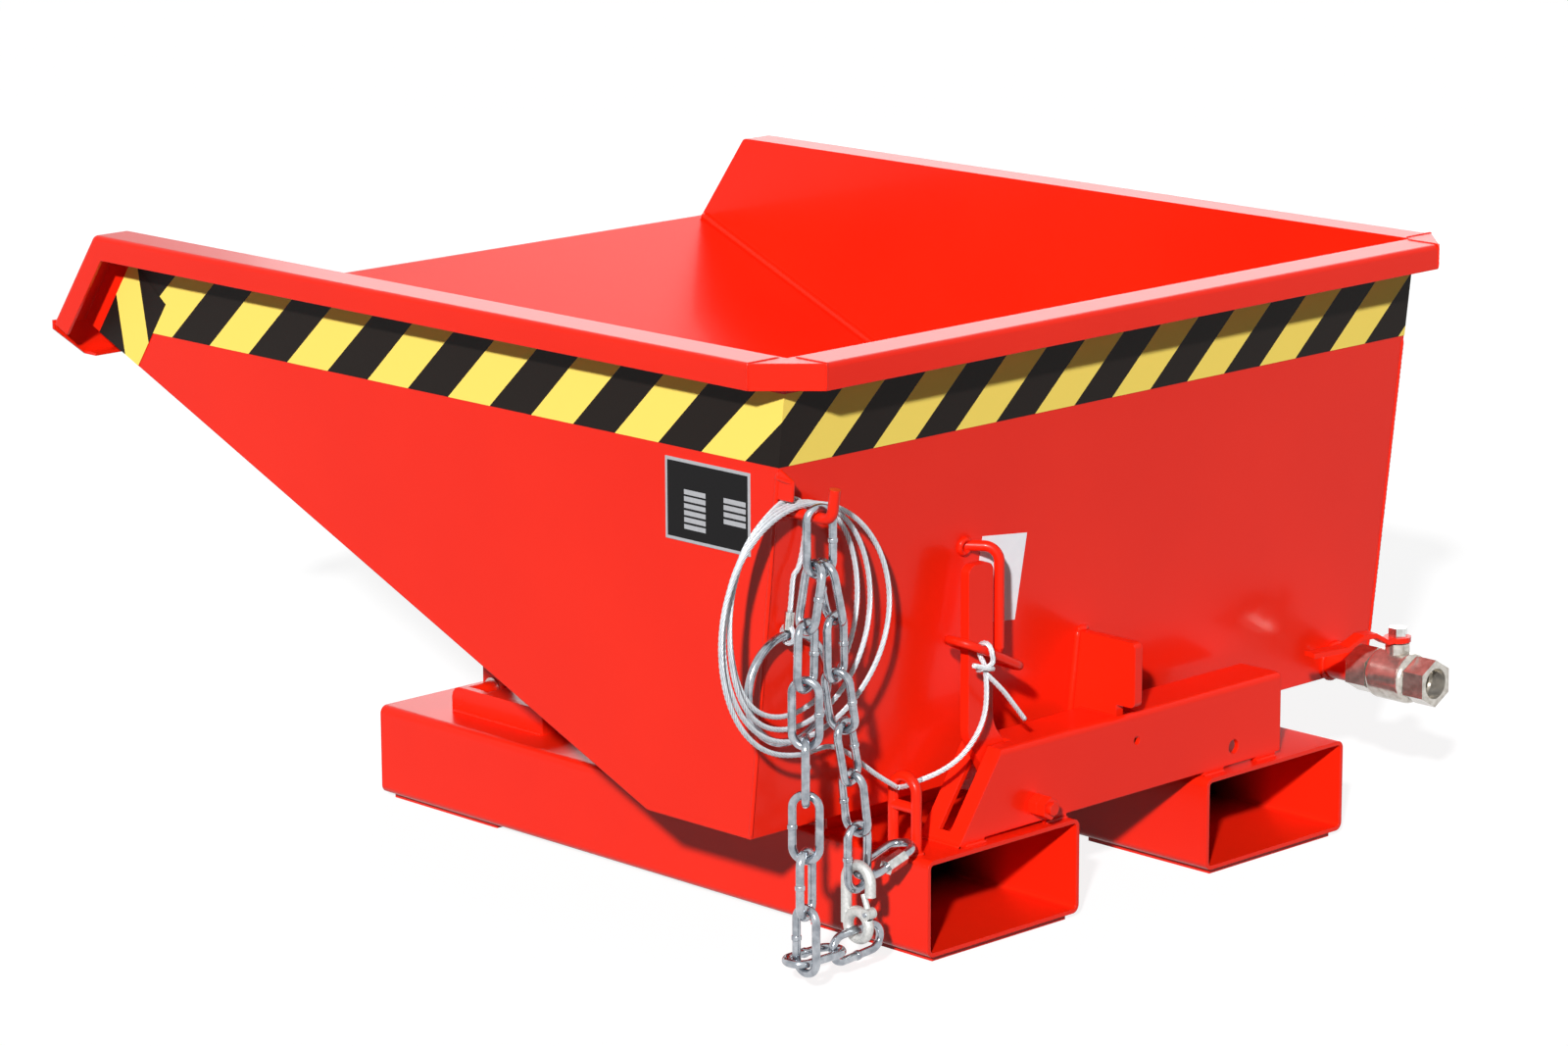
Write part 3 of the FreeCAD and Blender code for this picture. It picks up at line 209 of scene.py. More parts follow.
# finishes with a dark and a pale tone: the grain is the real size of the mottle,
# the tones are where it turns dark and pale, and the sheen is the range of roughness over it
mottles = {
    # electroplated chain steel: grey metal with a blotchy sheen
    "zincPlatedChain": {
        "dark": "8E949C", "pale": "BCC1C7", "grain": 9 * mm, "detail": 4.0, "tones": (0.32, 0.66),
        "bump": 0.01, "depth": 0.5 * mm, "sheen": (0.1125, 0.2025), "shader": {"Metallic": 0.95},
    },
    # plated turned parts: brighter and a little warmer than the chain
    "brightPlate": {
        "dark": "B9BAB6", "pale": "E0E1DF", "grain": 6 * mm, "detail": 4.0, "tones": (0.32, 0.66),
        "bump": 0.03, "depth": 0.5 * mm, "sheen": (0.135, 0.243), "shader": {"Metallic": 0.95},
    },
    # nickelled brass: warm grey, smooth and shiny
    "nickelledBrass": {
        "dark": "B2ACA3", "pale": "D4D0C8", "grain": 6 * mm, "detail": 4.0, "tones": (0.32, 0.66),
        "bump": 0.02, "depth": 0.5 * mm, "sheen": (0.135, 0.243), "shader": {"Metallic": 0.8},
    },
    # hot-dip galvanised forging: chalky pale grey with a pitted skin
    "castZinc": {
        "dark": "A9AAA8", "pale": "E9E9E5", "grain": 2.381 * mm, "detail": 4.0, "tones": (0.0, 1.0),
        "bump": 0.35, "depth": 0.6 * mm, "shader": {"Metallic": 0.55, "Roughness": 0.46},
    },
    # galvanised wire strands under a clear jacket: pale grey, soft shine
    "wireRope": {
        "dark": "BCC2C8", "pale": "EBEFF3", "grain": 6.25 * mm, "detail": 2.0, "tones": (0.0, 1.0),
        "shader": {"Metallic": 0.25, "Roughness": 0.36, "Coat Weight": 0.3, "Coat Roughness": 0.2},
    },
    # the same rope painted paler for the lengths at the latch, a painted highlight for the sun on them
    "wireRopeSunlit": {
        "dark": "CDD2D7", "pale": "F2F4F6", "grain": 6.25 * mm, "detail": 2.0, "tones": (0.0, 1.0),
        "shader": {"Metallic": 0.25, "Roughness": 0.36, "Coat Weight": 0.3, "Coat Roughness": 0.2},
    },
    # anodised aluminium plate, printed black: even and satin
    "plateBlack": {
        "dark": "100F10", "pale": "171617", "grain": 2 * mm, "detail": 3.0, "tones": (0.0, 1.0),
        "bump": 0.08, "depth": 0.3 * mm,
        "shader": {"Roughness": 0.42, "Metallic": 0.0, "Specular IOR Level": 0.11},
    },
    # its bare border and fields: silver grey, satin
    "plateSilver": {
        "dark": "A8A9AD", "pale": "BDBEC2", "grain": 3 * mm, "detail": 3.0, "tones": (0.0, 1.0),
        "bump": 0.08, "depth": 0.3 * mm,
        "shader": {"Roughness": 0.38, "Metallic": 0.3, "Specular IOR Level": 0.11},
    },
    # coated sticker paper: white with a faint cloud
    "stickerPaper": {
        "dark": "EEF2F8", "pale": "FAFCFF", "grain": 12 * mm, "detail": 3.0, "tones": (0.0, 1.0),
        "bump": 0.08, "depth": 0.3 * mm,
        "shader": {"Roughness": 0.5, "Metallic": 0.0, "Specular IOR Level": 0.11},
    },
}


def mottledFinish(name):
    look = mottles[name]
    material, tree, place = startMaterial(name)
    mottle = addNode(
        tree, "ShaderNodeTexNoise",
        {"Scale": 1 / look["grain"], "Detail": look["detail"]}, {"Vector": place},
    ).outputs["Fac"]
    tint = addNode(tree, "ShaderNodeValToRGB", links={"Fac": mottle})
    for stop, position, tone in zip(tint.color_ramp.elements, look["tones"], ("dark", "pale")):
        stop.position = position
        stop.color = hexColour(look[tone])
    links = {"Base Color": tint.outputs["Color"]}
    if "sheen" in look:
        smooth, rough = look["sheen"]
        sheen = addNode(tree, "ShaderNodeMapRange", {"To Min": smooth, "To Max": rough}, {"Value": mottle})
        links["Roughness"] = sheen.outputs["Result"]
    if "bump" in look:
        bump = addNode(
            tree, "ShaderNodeBump",
            {"Strength": look["bump"], "Distance": look["depth"]}, {"Height": mottle},
        )
        links["Normal"] = bump.outputs["Normal"]
    endMaterial(tree, look["shader"], links)
    return material


# printed vinyl tape: yellow and black slanting bars, the map counts bars along the strip
vinyl = {
    "yellow": "FBE06A",
    "black": "1C1613",
    "yellowShare": 0.505,
    "grain": 2 * mm,
    "detail": 2.0,
    "bump": 0.12,
    "depth": 0.3 * mm,
    "sheen": (0.38, 0.55),
    "shader": {"Specular IOR Level": 0.10},
}


def hazardVinyl():
    material, tree, place = startMaterial("hazardTape")
    strip = addNode(tree, "ShaderNodeUVMap", uv_map="bars")
    split = addNode(tree, "ShaderNodeSeparateXYZ", links={"Vector": strip.outputs["UV"]})
    wrapped = addNode(tree, "ShaderNodeMath", links={0: split.outputs["X"]}, operation="FRACT")
    isBlack = addNode(
        tree, "ShaderNodeMath", {1: vinyl["yellowShare"]}, {0: wrapped.outputs[0]}, operation="GREATER_THAN"
    )
    bars = addNode(
        tree, "ShaderNodeMix",
        {mixSocket["first"]: hexColour(vinyl["yellow"]), mixSocket["second"]: hexColour(vinyl["black"])},
        {mixSocket["factor"]: isBlack.outputs[0]}, data_type="RGBA",
    )
    grain = addNode(
        tree, "ShaderNodeTexNoise",
        {"Scale": 1 / vinyl["grain"], "Detail": vinyl["detail"]}, {"Vector": place},
    ).outputs["Fac"]
    bump = addNode(
        tree, "ShaderNodeBump",
        {"Strength": vinyl["bump"], "Distance": vinyl["depth"]}, {"Height": grain},
    )
    smooth, rough = vinyl["sheen"]
    sheen = addNode(tree, "ShaderNodeMapRange", {"To Min": smooth, "To Max": rough}, {"Value": grain})
    endMaterial(tree, vinyl["shader"], {
        "Base Color": bars.outputs[mixSocket["result"]],
        "Roughness": sheen.outputs["Result"],
        "Normal": bump.outputs["Normal"],
    })
    return material


finishes = {
    "redEnamel": redEnamel("redEnamel"),
    "redEnamelTube": redEnamel("redEnamelTube", shadedInside=True),
    "hazardTape": hazardVinyl(),
}
finishes.update({name: mottledFinish(name) for name in mottles})

# every node that isn't named here is painted red
nodeFinish = {
    "redEnamelTube": ["left_fork_tube", "right_fork_tube"],
    "zincPlatedChain": ["chain_left_strand", "chain_right_strand", "quick_link", "pull_ring", "gate_rivet"],
    "brightPlate": ["quick_link_sleeve", "hinge_bushes", "rope_ferrule", "valve_stem_nut", "valve_stem"],
    "nickelledBrass": ["valve_body", "valve_ball"],
    "castZinc": ["safety_hook", "hook_gate"],
}


def dressNodes():
    chosen = {node: finish for finish, nodes in nodeFinish.items() for node in nodes}
    for name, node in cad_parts.items():
        node.data.materials.clear()
        node.data.materials.append(finishes[chosen.get(name, "redEnamel")])


dressNodes()
print("materials on the nodes")

# the skip's rear wall leans back, and most pieces are placed on it or on the side panels' outer faces
wall = {"footX": -0.4166, "footZ": 0.1286, "lean": 48.4 / 438.4}
sideFace = 0.4264


def wallX(z):
    return wall["footX"] - (z - wall["footZ"]) * wall["lean"]


def onWall(y, z, out):
    return (wallX(z) - out, y, z)


# ropes
rope = {
    "diameter": 0.005,
    "strands": 6,
    "strandShare": 1 / 3,  # of the rope's radius, so that six strands close round the middle
    "lay": 0.030,
    "stepsPerLay": 12,
    "sides": 6,
    "order": 3,
    "resolution": 16,
    "leastSteps": 4,
    "leastSpan": 1e-9,
}
coil = {
    "turns": 3.5,
    "pointsPerTurn": 16,
    "lastPoint": 2,  # from there the run over the hook takes over
    "pitch": 0.0055,
    "fromWall": 0.004,
    "y": 0.414,
    "topZ": 0.4378,
    "halfWidth": (0.084, 0.102),
    "halfHeight": (0.092, 0.110),
    "swell": 1.019,  # the spline runs a little inside its points
    # how far the loose turns lie to the left and off the wall, at each quarter turn from the outer end
    "left": [
        0.008, -0.001, -0.002, -0.010, 0.006, -0.004, -0.002, 0.004,
        0.008, -0.009, -0.002, 0.0095, 0.008, -0.009, -0.006,
    ],
    "off": [0, 0, 0, 0, 0, 0, 0, 0, 0, 0.003, 0, 0, 0, 0.003, 0],
}
coilX = wallX(coil["topZ"]) - coil["fromWall"]
pullRing = {
    "middleZ": 0.270,
    "topZ": 0.3185,
    "fromWall": 0.017,
    "y": 0.411,
    "tailTop": (0.404, 0.420),
    "eyeRadius": 0.0072,
    "ferrule": 0.016,
    "drop": (0.034, 0.016, 0.0),  # points above the ferrule
}
ringTop = Vector((wallX(pullRing["middleZ"]) - pullRing["fromWall"], pullRing["y"], pullRing["topZ"]))
tailTop = Vector((coilX, *pullRing["tailTop"]))
knot = Vector((-0.4927, 0.207, 0.25694))

# control points of the routes in metres: the left lead is the part's, the others were moved to
# follow the photo
routes = {
    "leadLeft": [
        (-0.4644, 0.2910, 0.1588), (-0.4635, 0.3120, 0.1720), (-0.4645, 0.3360, 0.1900),
        (-0.4690, 0.3600, 0.2070), (-0.4740, 0.3840, 0.2178), (-0.4740, 0.4000, 0.2178),
    ],
    "overHook": [
        (-0.4550, 0.4320, 0.4365), (-0.4550, 0.4130, 0.4425), (-0.4550, 0.3985, 0.4360),
        (-0.4548, 0.3945, 0.4190), (-0.4540, 0.3960, 0.3970), (-0.4530, 0.4020, 0.3750),
    ],
    "inStaple": [(-0.4644, 0.2908, 0.1587), (-0.4640, 0.2770, 0.1560), (-0.4650, 0.2602, 0.1599)],
    "leadRight": [
        (-0.4650, 0.2602, 0.1599), (-0.4740, 0.2450, 0.1650), (-0.4840, 0.2240, 0.1800),
        (-0.4905, 0.2080, 0.2050), (-0.4930, 0.2040, 0.2330), tuple(knot),
    ],
}
# and in millimetres round the knot and round the top of the pull ring
bends = {
    "knotTurns": [
        (-1, 17, 7), (-3, 10, 5), (-7, 4, 3), (-6, -5, 1), (2, -8, -1), (7, -1, -2), (4, 7, 0),
        (-4, 7, 3), (-7, 0, 5), (-7, -3, 9), (-8.4, 0, 15), (-6.5, 0, 22.5), (0, 0, 25.5),
        (6.5, 0, 22.5), (8.4, 0, 16), (5, 0, 9), (1, -1, 4), (0, 0, -3),
    ],
    "knotTail": [(0, -1, -4), (-3, -17, -19), (-3, -34, -38), (0, -52, -56)],
    "eyeTurns": [
        (-0.8, 0, 9), (-4, 0, 7), (-7.4, 0, 3), (-7.4, 0, -3), (-3.5, 0, -7.6), (3.5, 0, -7.6),
        (7.4, 0, -3), (7.4, 0, 3), (4, 0, 7), (0.8, 0, 9),
    ],
}


def addPiece(name, data, body):
    piece = bpy.data.objects.new(name, data)
    bpy.context.scene.collection.objects.link(piece)
    if body:
        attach(piece, body)
    return piece


def routeLine(points):
    curve = bpy.data.curves.new("route", "CURVE")
    curve.dimensions = "3D"
    curve.resolution_u = rope["resolution"]
    spline = curve.splines.new("NURBS")
    spline.points.add(len(points) - 1)
    for point, place in zip(spline.points, points):
        point.co = (*place, 1)
    spline.order_u = rope["order"]
    spline.use_endpoint_u = True
    holder = bpy.data.objects.new("route", curve)
    bpy.context.scene.collection.objects.link(holder)
    bpy.context.view_layer.update()
    mesh = bpy.data.meshes.new_from_object(holder.evaluated_get(bpy.context.evaluated_depsgraph_get()))
    line = [v.co.copy() for v in mesh.vertices]
    bpy.data.objects.remove(holder)
    bpy.data.meshes.remove(mesh)
    return line


def evenLine(line, step):
    # the spline's points at equal steps, so that the strands' turns are even
    lengths = [0.0]
    for a, b in zip(line, line[1:]):
        lengths.append(lengths[-1] + (b - a).length)
    count = max(rope["leastSteps"], round(lengths[-1] / step))
    even = []
    at = 0
    for index in range(count + 1):
        want = lengths[-1] * index / count
        while at < len(line) - 2 and lengths[at + 1] < want:
            at += 1
        span = max(lengths[at + 1] - lengths[at], rope["leastSpan"])
        even.append(line[at].lerp(line[at + 1], min(1.0, (want - lengths[at]) / span)))
    return even, lengths[-1]


def squareToLine(line):
    # two directions square to the line at each point, carried along without a twist
    last = len(line) - 1
    along = [(line[min(i + 1, last)] - line[max(i - 1, 0)]).normalized() for i in range(len(line))]
    side = along[0].orthogonal().normalized()
    pairs = []
    for direction in along:
        side = (side - direction * side.dot(direction)).normalized()
        pairs.append((side.copy(), direction.cross(side)))
    return pairs


def strandedRope(name, points, body, finish="wireRope"):
    # strands laid round the route's own curve
    line, length = evenLine(routeLine(points), rope["lay"] / rope["stepsPerLay"])
    sides = rope["sides"]
    strandRadius = rope["diameter"] / 2 * rope["strandShare"]
    offset = rope["diameter"] / 2 - strandRadius
    pairs = squareToLine(line)
    vertices, faces = [], []
    for strand in range(rope["strands"]):
        start = len(vertices)
        for index, place in enumerate(line):
            first, second = pairs[index]
            turns = index * length / (len(line) - 1) / rope["lay"] + strand / rope["strands"]
            twist = 2 * math.pi * turns
            middle = place + first * (offset * math.cos(twist)) + second * (offset * math.sin(twist))
            for corner in range(sides):
                angle = 2 * math.pi * corner / sides + twist
                across = strandRadius * math.cos(angle)
                over = strandRadius * math.sin(angle)
                vertices.append(middle + first * across + second * over)
        for ring in range(start, start + (len(line) - 1) * sides, sides):
            for corner in range(sides):
                a, b = ring + corner, ring + (corner + 1) % sides
                faces.append((a, b, b + sides, a + sides))
        lastRing = start + (len(line) - 1) * sides
        faces.append(list(range(start + sides - 1, start - 1, -1)))
        faces.append(list(range(lastRing, lastRing + sides)))
    mesh = bpy.data.meshes.new(name)
    mesh.from_pydata(vertices, [], faces)
    mesh.polygons.foreach_set("use_smooth", [True] * len(mesh.polygons))
    mesh.materials.append(finishes[finish])
    return addPiece(name, mesh, body), line, length


def between(ends, share):
    return ends[0] + (ends[1] - ends[0]) * share


def coilSway(side, turn):
    quarter = (coil["turns"] - turn) * 4
    at = min(int(quarter), len(coil[side]) - 2)
    return between(coil[side][at:at + 2], (1 - math.cos(math.pi * (quarter - at))) / 2)


def coilPoints():
    points = []
    count = round(coil["turns"] * coil["pointsPerTurn"])
    for index in range(count, coil["lastPoint"] - 1, -1):
        turn = index / coil["pointsPerTurn"]
        angle = 2 * math.pi * turn
        halfWidth = between(coil["halfWidth"], turn / coil["turns"])
        halfHeight = between(coil["halfHeight"], turn / coil["turns"])
        points.append((
            coilX - coil["pitch"] * turn - coilSway("off", turn),
            coil["y"] + coilSway("left", turn) + halfWidth * coil["swell"] * math.sin(angle),
            coil["topZ"] - halfHeight + halfHeight * coil["swell"] * math.cos(angle),
        ))
    return points


def around(centre, offsets):
    return [tuple(centre + Vector(offset) * mm) for offset in offsets]


def addRopes():
    tailAlong = (tailTop - ringTop).normalized()
    ferruleEnd = ringTop + tailAlong * (pullRing["eyeRadius"] - rope["diameter"] / 2 + pullRing["ferrule"])
    drop = [tuple(ferruleEnd + tailAlong * rise) for rise in pullRing["drop"]]
    mainRoute = routes["leadLeft"] + coilPoints() + routes["overHook"] + drop
    mainRope, line, length = strandedRope("ropeCoil", mainRoute, "skip")
    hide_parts("rope_coil", "rope_lead_left")
    eye, _, _ = strandedRope("ropeEye", around(ringTop, bends["eyeTurns"]), "skip")
    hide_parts("rope_eye")
    print("main rope", round(length, 3))
    held, _, _ = strandedRope("ropeInStaple", routes["inStaple"], "base")
    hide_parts("rope_through_staple")
    leadRight = routes["leadRight"]
    # the lengths at the latch take the paler rope finish, a painted highlight for the sun on them
    right, line, length = strandedRope("ropeToLatch", leadRight, None, "wireRopeSunlit")
    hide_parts("rope_lead_right")
    tied, _, _ = strandedRope("ropeKnot", around(knot, bends["knotTurns"]), "latch", "wireRopeSunlit")
    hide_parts("rope_knot")
    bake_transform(right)
    tail, line, length = strandedRope("ropeTail", around(knot, bends["knotTail"]), "latch", "wireRopeSunlit")
    print("rope tail", round(length, 3))


addRopes()
print("ropes laid")

# hazard tape round the skip under its rim; its bars are numbered along it, from the near front end
tape = {
    "low": 0.470,
    "high": 0.536,
    "countZ": 0.474,  # height at which a bar has its number
    "off": 0.0004,
    "leanPerMetre": 9.25,  # bars that the slant crosses per metre of height
    "sideBars": [(0.455, -6.99), (0.3355, -6.0), (0.095, -4.0), (-0.137, -2.0), (-0.362, 0.0)],  # x, number
    "rearStart": 0.411,
    "rearPitch": 0.104,
    "farStart": -0.458,
    "farPitch": 0.116,
    "mapStart": 20,  # keeps the count above zero
    "mapRow": 0.5,
}
# short pieces across both ends of the long one
tapeEnd = {
    "corners": [(0.4079, 0.5019), (0.4610, 0.5395), (0.5185, 0.4598), (0.4560, 0.4338)],
    "off": 2 * tape["off"],
    "start": 0.3854,
    "run": (0.982, -0.187),
    "pitch": 0.0822,
}


def rearBar(y):
    return 1.0 + (tape["rearStart"] - y) / tape["rearPitch"]


def tapeColumns():
    # x, y and bar count of each upright line of the strip; on the rear wall x follows from the height
    edge = sideFace + tape["off"]
    columns = [(x, edge, count) for x, count in tape["sideBars"]]
    columns += [(None, y, rearBar(y)) for y in (edge, 0.0, -edge)]
    for x, _ in reversed(tape["sideBars"]):
        columns.append((x, -edge, rearBar(-edge) + (x - tape["farStart"]) / tape["farPitch"]))
    return columns


def addTape():
    columns = tapeColumns()
    bpy.ops.mesh.primitive_grid_add(x_subdivisions=len(columns) - 1, y_subdivisions=1, size=1)
    strip = bpy.context.object
    strip.name = strip.data.name = "hazardTape"
    corners = strip.data.vertices
    order = sorted(range(len(corners)), key=lambda i: (round(corners[i].co.x, 4), corners[i].co.y))
    bars = {}
    for index, vertexIndex in enumerate(order):
        x, y, count = columns[index // 2]
        z = tape["high"] if index % 2 else tape["low"]
        if x is None:
            x = wallX(z) - tape["off"]
        corners[vertexIndex].co = (x, y, z)
        bars[vertexIndex] = count - (z - tape["countZ"]) * tape["leanPerMetre"]
    finishTape(strip, bars)


def addTapeEnd(name, sign):
    bpy.ops.mesh.primitive_plane_add(size=1)
    strip = bpy.context.object
    strip.name = strip.data.name = name
    runX, runZ = tapeEnd["run"]
    bars = {}
    for vertexIndex, (x, z) in zip(strip.data.polygons[0].vertices[:], tapeEnd["corners"]):
        strip.data.vertices[vertexIndex].co = (x, sign * (sideFace + tapeEnd["off"]), z)
        bars[vertexIndex] = (tapeEnd["start"] - (x * runX + z * runZ)) / tapeEnd["pitch"]
    finishTape(strip, bars)


def finishTape(strip, bars):
    layer = strip.data.uv_layers.active or strip.data.uv_layers.new(name="bars")
    layer.name = "bars"
    for loop in strip.data.loops:
        layer.data[loop.index].uv = (bars[loop.vertex_index] + tape["mapStart"], tape["mapRow"])
    bpy.ops.object.mode_set(mode="EDIT")
    bpy.ops.mesh.select_all(action="SELECT")
    bpy.ops.mesh.normals_make_consistent(inside=False)
    bpy.ops.object.mode_set(mode="OBJECT")
    strip.data.materials.clear()
    strip.data.materials.append(finishes["hazardTape"])
    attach(strip, "skip")
    strip.select_set(False)


addTape()
addTapeEnd("tapeEndLeft", 1)
addTapeEnd("tapeEndRight", -1)
print("tape stuck on")

# rating plate with blank fields; rows and columns are shares of its height and width
plate = {
    "topLeft": (-0.3112, 0.4600),
    "width": 0.1083,
    "height": 0.0745,
    "thickness": 0.0010,
    "border": 0.0030,
    "edge": 0.0004,
    "fieldEdge": 0.0001,
    "blackDepth": (0.5, 1.15),  # from and to, in thicknesses
    "blankDepth": (0.6, 1.3),
    "rows": [(0.36, 0.42), (0.443, 0.503), (0.529, 0.586), (0.613, 0.672), (0.697, 0.756), (0.782, 0.839)],
    "leftColumn": (0.227, 0.481),
    "rightColumn": (0.694, 0.950),
    "rightRows": 4,
}


def bevelEdges(piece, width, segments=2):
    bpy.context.view_layer.objects.active = piece
    soften = piece.modifiers.new("edge", "BEVEL")
    soften.width = width
    soften.segments = segments
    bpy.ops.object.modifier_apply(modifier="edge")


def joinPieces(pieces):
    bpy.ops.object.select_all(action="DESELECT")
    for piece in pieces:
        piece.select_set(True)
    bpy.context.view_layer.objects.active = pieces[0]
    bpy.ops.object.join()
    return bpy.context.object


def addBox(name, low, high, finish, bevel):
    bpy.ops.mesh.primitive_cube_add(size=1)
    block = bpy.context.object
    block.name = block.data.name = name
    for vertex in block.data.vertices:
        vertex.co = [low[i] if vertex.co[i] < 0 else high[i] for i in range(3)]
    block.data.materials.append(finishes[finish])
    bevelEdges(block, bevel)
    return block


def addPlate():
    left, top = plate["topLeft"]
    right, bottom = left - plate["width"], top - plate["height"]
    border, thick = plate["border"], plate["thickness"]
    blackIn, blackOut = (sideFace + thick * depth for depth in plate["blackDepth"])
    blankIn, blankOut = (sideFace + thick * depth for depth in plate["blankDepth"])
    pieces = [
        addBox(
            "ratingPlate",
            (right, sideFace, bottom),
            (left, sideFace + thick, top),
            "plateSilver", plate["edge"],
        ),
        addBox(
            "plateField",
            (right + border, blackIn, bottom + border),
            (left - border, blackOut, top - border),
            "plateBlack", plate["fieldEdge"],
        ),
    ]
    fields = [(plate["leftColumn"], row) for row in plate["rows"]]
    fields += [(plate["rightColumn"], row) for row in plate["rows"][:plate["rightRows"]]]
    for (u0, u1), (v0, v1) in fields:
        pieces.append(addBox(
            "plateBlank",
            (left - u1 * plate["width"], blankIn, top - v1 * plate["height"]),
            (left - u0 * plate["width"], blankOut, top - v0 * plate["height"]),
            "plateSilver", plate["fieldEdge"],
        ))
    whole = joinPieces(pieces)
    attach(whole, "skip")
    whole.select_set(False)


# blank sticker on the rear wall behind the latch
sticker = {
    "corners": [(0.159, 0.3635), (0.099, 0.357), (0.105, 0.2745), (0.165, 0.281)],
    "off": 0.0003,
    "cuts": 6,
}


def addSticker():
    bpy.ops.mesh.primitive_plane_add(size=1)
    sheet = bpy.context.object
    sheet.name = sheet.data.name = "blankSticker"
    for vertexIndex, (y, z) in zip(sheet.data.polygons[0].vertices[:], sticker["corners"]):
        sheet.data.vertices[vertexIndex].co = onWall(y, z, sticker["off"])
    bpy.ops.object.mode_set(mode="EDIT")
    bpy.ops.mesh.select_all(action="SELECT")
    bpy.ops.mesh.subdivide(number_cuts=sticker["cuts"])
    bpy.ops.mesh.normals_make_consistent(inside=False)
    bpy.ops.object.mode_set(mode="OBJECT")
    if sheet.data.polygons[0].normal.x > 0:
        sheet.data.flip_normals()
    sheet.data.materials.append(finishes["stickerPaper"])
    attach(sheet, "skip")
    sheet.select_set(False)


addPlate()
addSticker()
print("plate and sticker on")

# lug at the near rear corner: the side sheet stands past the rear wall under the tape
lug = {
    "face": 0.4262,
    "thickness": 0.0030,
    "low": 0.4418,
    "shoulder": 0.4600,
    "top": 0.4685,
    "reach": 0.0190,
    "root": 0.0020,
    "edge": 0.0010,
}


def addLug():
    low, shoulder, top = lug["low"], lug["shoulder"], lug["top"]
    outline = [
        (wallX(low) + lug["root"], low),
        (wallX(low) - lug["reach"], low),
        (wallX(shoulder) - lug["reach"], shoulder),
        (wallX(top) - lug["root"], top),
        (wallX(top) + lug["root"], top),
    ]
    count = len(outline)
    vertices = [(x, lug["face"] - depth, z) for depth in (0, lug["thickness"]) for x, z in outline]
    faces = [list(range(count)), list(reversed(range(count, 2 * count)))]
    faces += [(i, i + count, (i + 1) % count + count, (i + 1) % count) for i in range(count)]
    mesh = bpy.data.meshes.new("cornerLug")
    mesh.from_pydata(vertices, [], faces)
    mesh.materials.append(finishes["redEnamel"])
    bevelEdges(addPiece("cornerLug", mesh, "skip"), lug["edge"])


# weld beads: each a rippled run of paint-covered weld metal
bead = {
    "step": 0.0024,
    "ripple": 0.13,
    "waver": 0.05,
    "endShare": 0.6,
    "resolution": 2,
    "leastSteps": 2,
    "ringSteps": 24,
    "meets": 1e-7,  # ends nearer than this make a closed run
}
seamWeld = {
    "y": 0.4212,
    "slopeFoot": (-0.2825, 0.1336),
    "slopeTop": (0.5400, 0.4742),
    "wallZ": (0.135, 0.562),
    "inside": 0.006,
    "radius": 0.0042,
}
cornerWeld = {"y": 0.4256, "wallZ": (0.131, 0.466), "inside": 0.001, "radius": 0.0022}
lugWeld = {"sunk": 0.0006, "root": 0.004, "tip": 0.003, "slant": 0.001, "radius": 0.0024}
catchWeld = {"y": (0.0035, 0.0165), "wallZ": (0.133, 0.247), "topZ": 0.2485, "out": 0.001, "radius": 0.0036}
hookWeld = {
    "storage": {"y": 0.414, "z": 0.430, "ring": 0.0058},
    "keeper": {"y": 0.182, "z": 0.358, "ring": 0.0062},
    "out": 0.0008,
    "radius": 0.0032,
}
nippleWeld = {"y": -0.372, "z": 0.145, "ring": 0.0180, "ringSteps": 40, "out": 0.0012, "radius": 0.0026}
stapleWeld = {"x": (-0.476, -0.447), "y": 0.278, "z": 0.0968, "ring": 0.0056, "radius": 0.0022}
crossbarWeld = {
    "x": (-0.4915, -0.4855),
    "y": ((0.096, 0.124), (0.2035, 0.2300), (-0.124, -0.096), (-0.199, -0.171)),
    "z": 0.0962,
    "end": [(-0.491, 0.2375, 0.0968), (-0.443, 0.2375, 0.0968)],
    "radius": 0.0022,
}
cheekWeld = {"x": (0.0620, 0.1930), "y": (0.2420, 0.2500), "z": 0.0965, "radius": 0.0022}
patchWeld = {
    "topZ": 0.5669,
    "lowZ": 0.5440,
    "sideX": -0.455,
    "sideY": (sideFace, 0.4632),
    "rearX": (-0.465, -0.5026),
    "rearY": 0.4156,
    "radius": 0.0012,
}


def addBead(name, body, runs, radius):
    curve = bpy.data.curves.new(name, "CURVE")
    curve.dimensions = "3D"
    curve.bevel_depth = radius
    curve.bevel_resolution = bead["resolution"]
    curve.use_fill_caps = True
    for run in runs:
        places = []
        for start, end in zip(run, run[1:]):
            start, end = Vector(start), Vector(end)
            count = max(bead["leastSteps"], round((end - start).length / bead["step"]))
            places += [start.lerp(end, i / count) for i in range(count)]
        closed = (Vector(run[0]) - Vector(run[-1])).length < bead["meets"]
        if not closed:
            places.append(Vector(run[-1]))
        spline = curve.splines.new("POLY")
        spline.points.add(len(places) - 1)
        spline.use_cyclic_u = closed
        for index, (point, place) in enumerate(zip(spline.points, places)):
            point.co = (*place, 1)
            ripple = 1 - bead["ripple"] * (index % 2) + random.uniform(-bead["waver"], bead["waver"])
            atEnd = not closed and index in (0, len(places) - 1)
            point.radius = ripple * (bead["endShare"] if atEnd else 1.0)
    holder = bpy.data.objects.new(name, curve)
    bpy.context.scene.collection.objects.link(holder)
    bpy.ops.object.select_all(action="DESELECT")
    holder.select_set(True)
    bpy.context.view_layer.objects.active = holder
    bpy.ops.object.convert(target="MESH")
    weld = bpy.context.object
    bpy.ops.object.shade_smooth()
    weld.data.materials.clear()
    weld.data.materials.append(finishes["redEnamel"])
    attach(weld, body)
    weld.select_set(False)


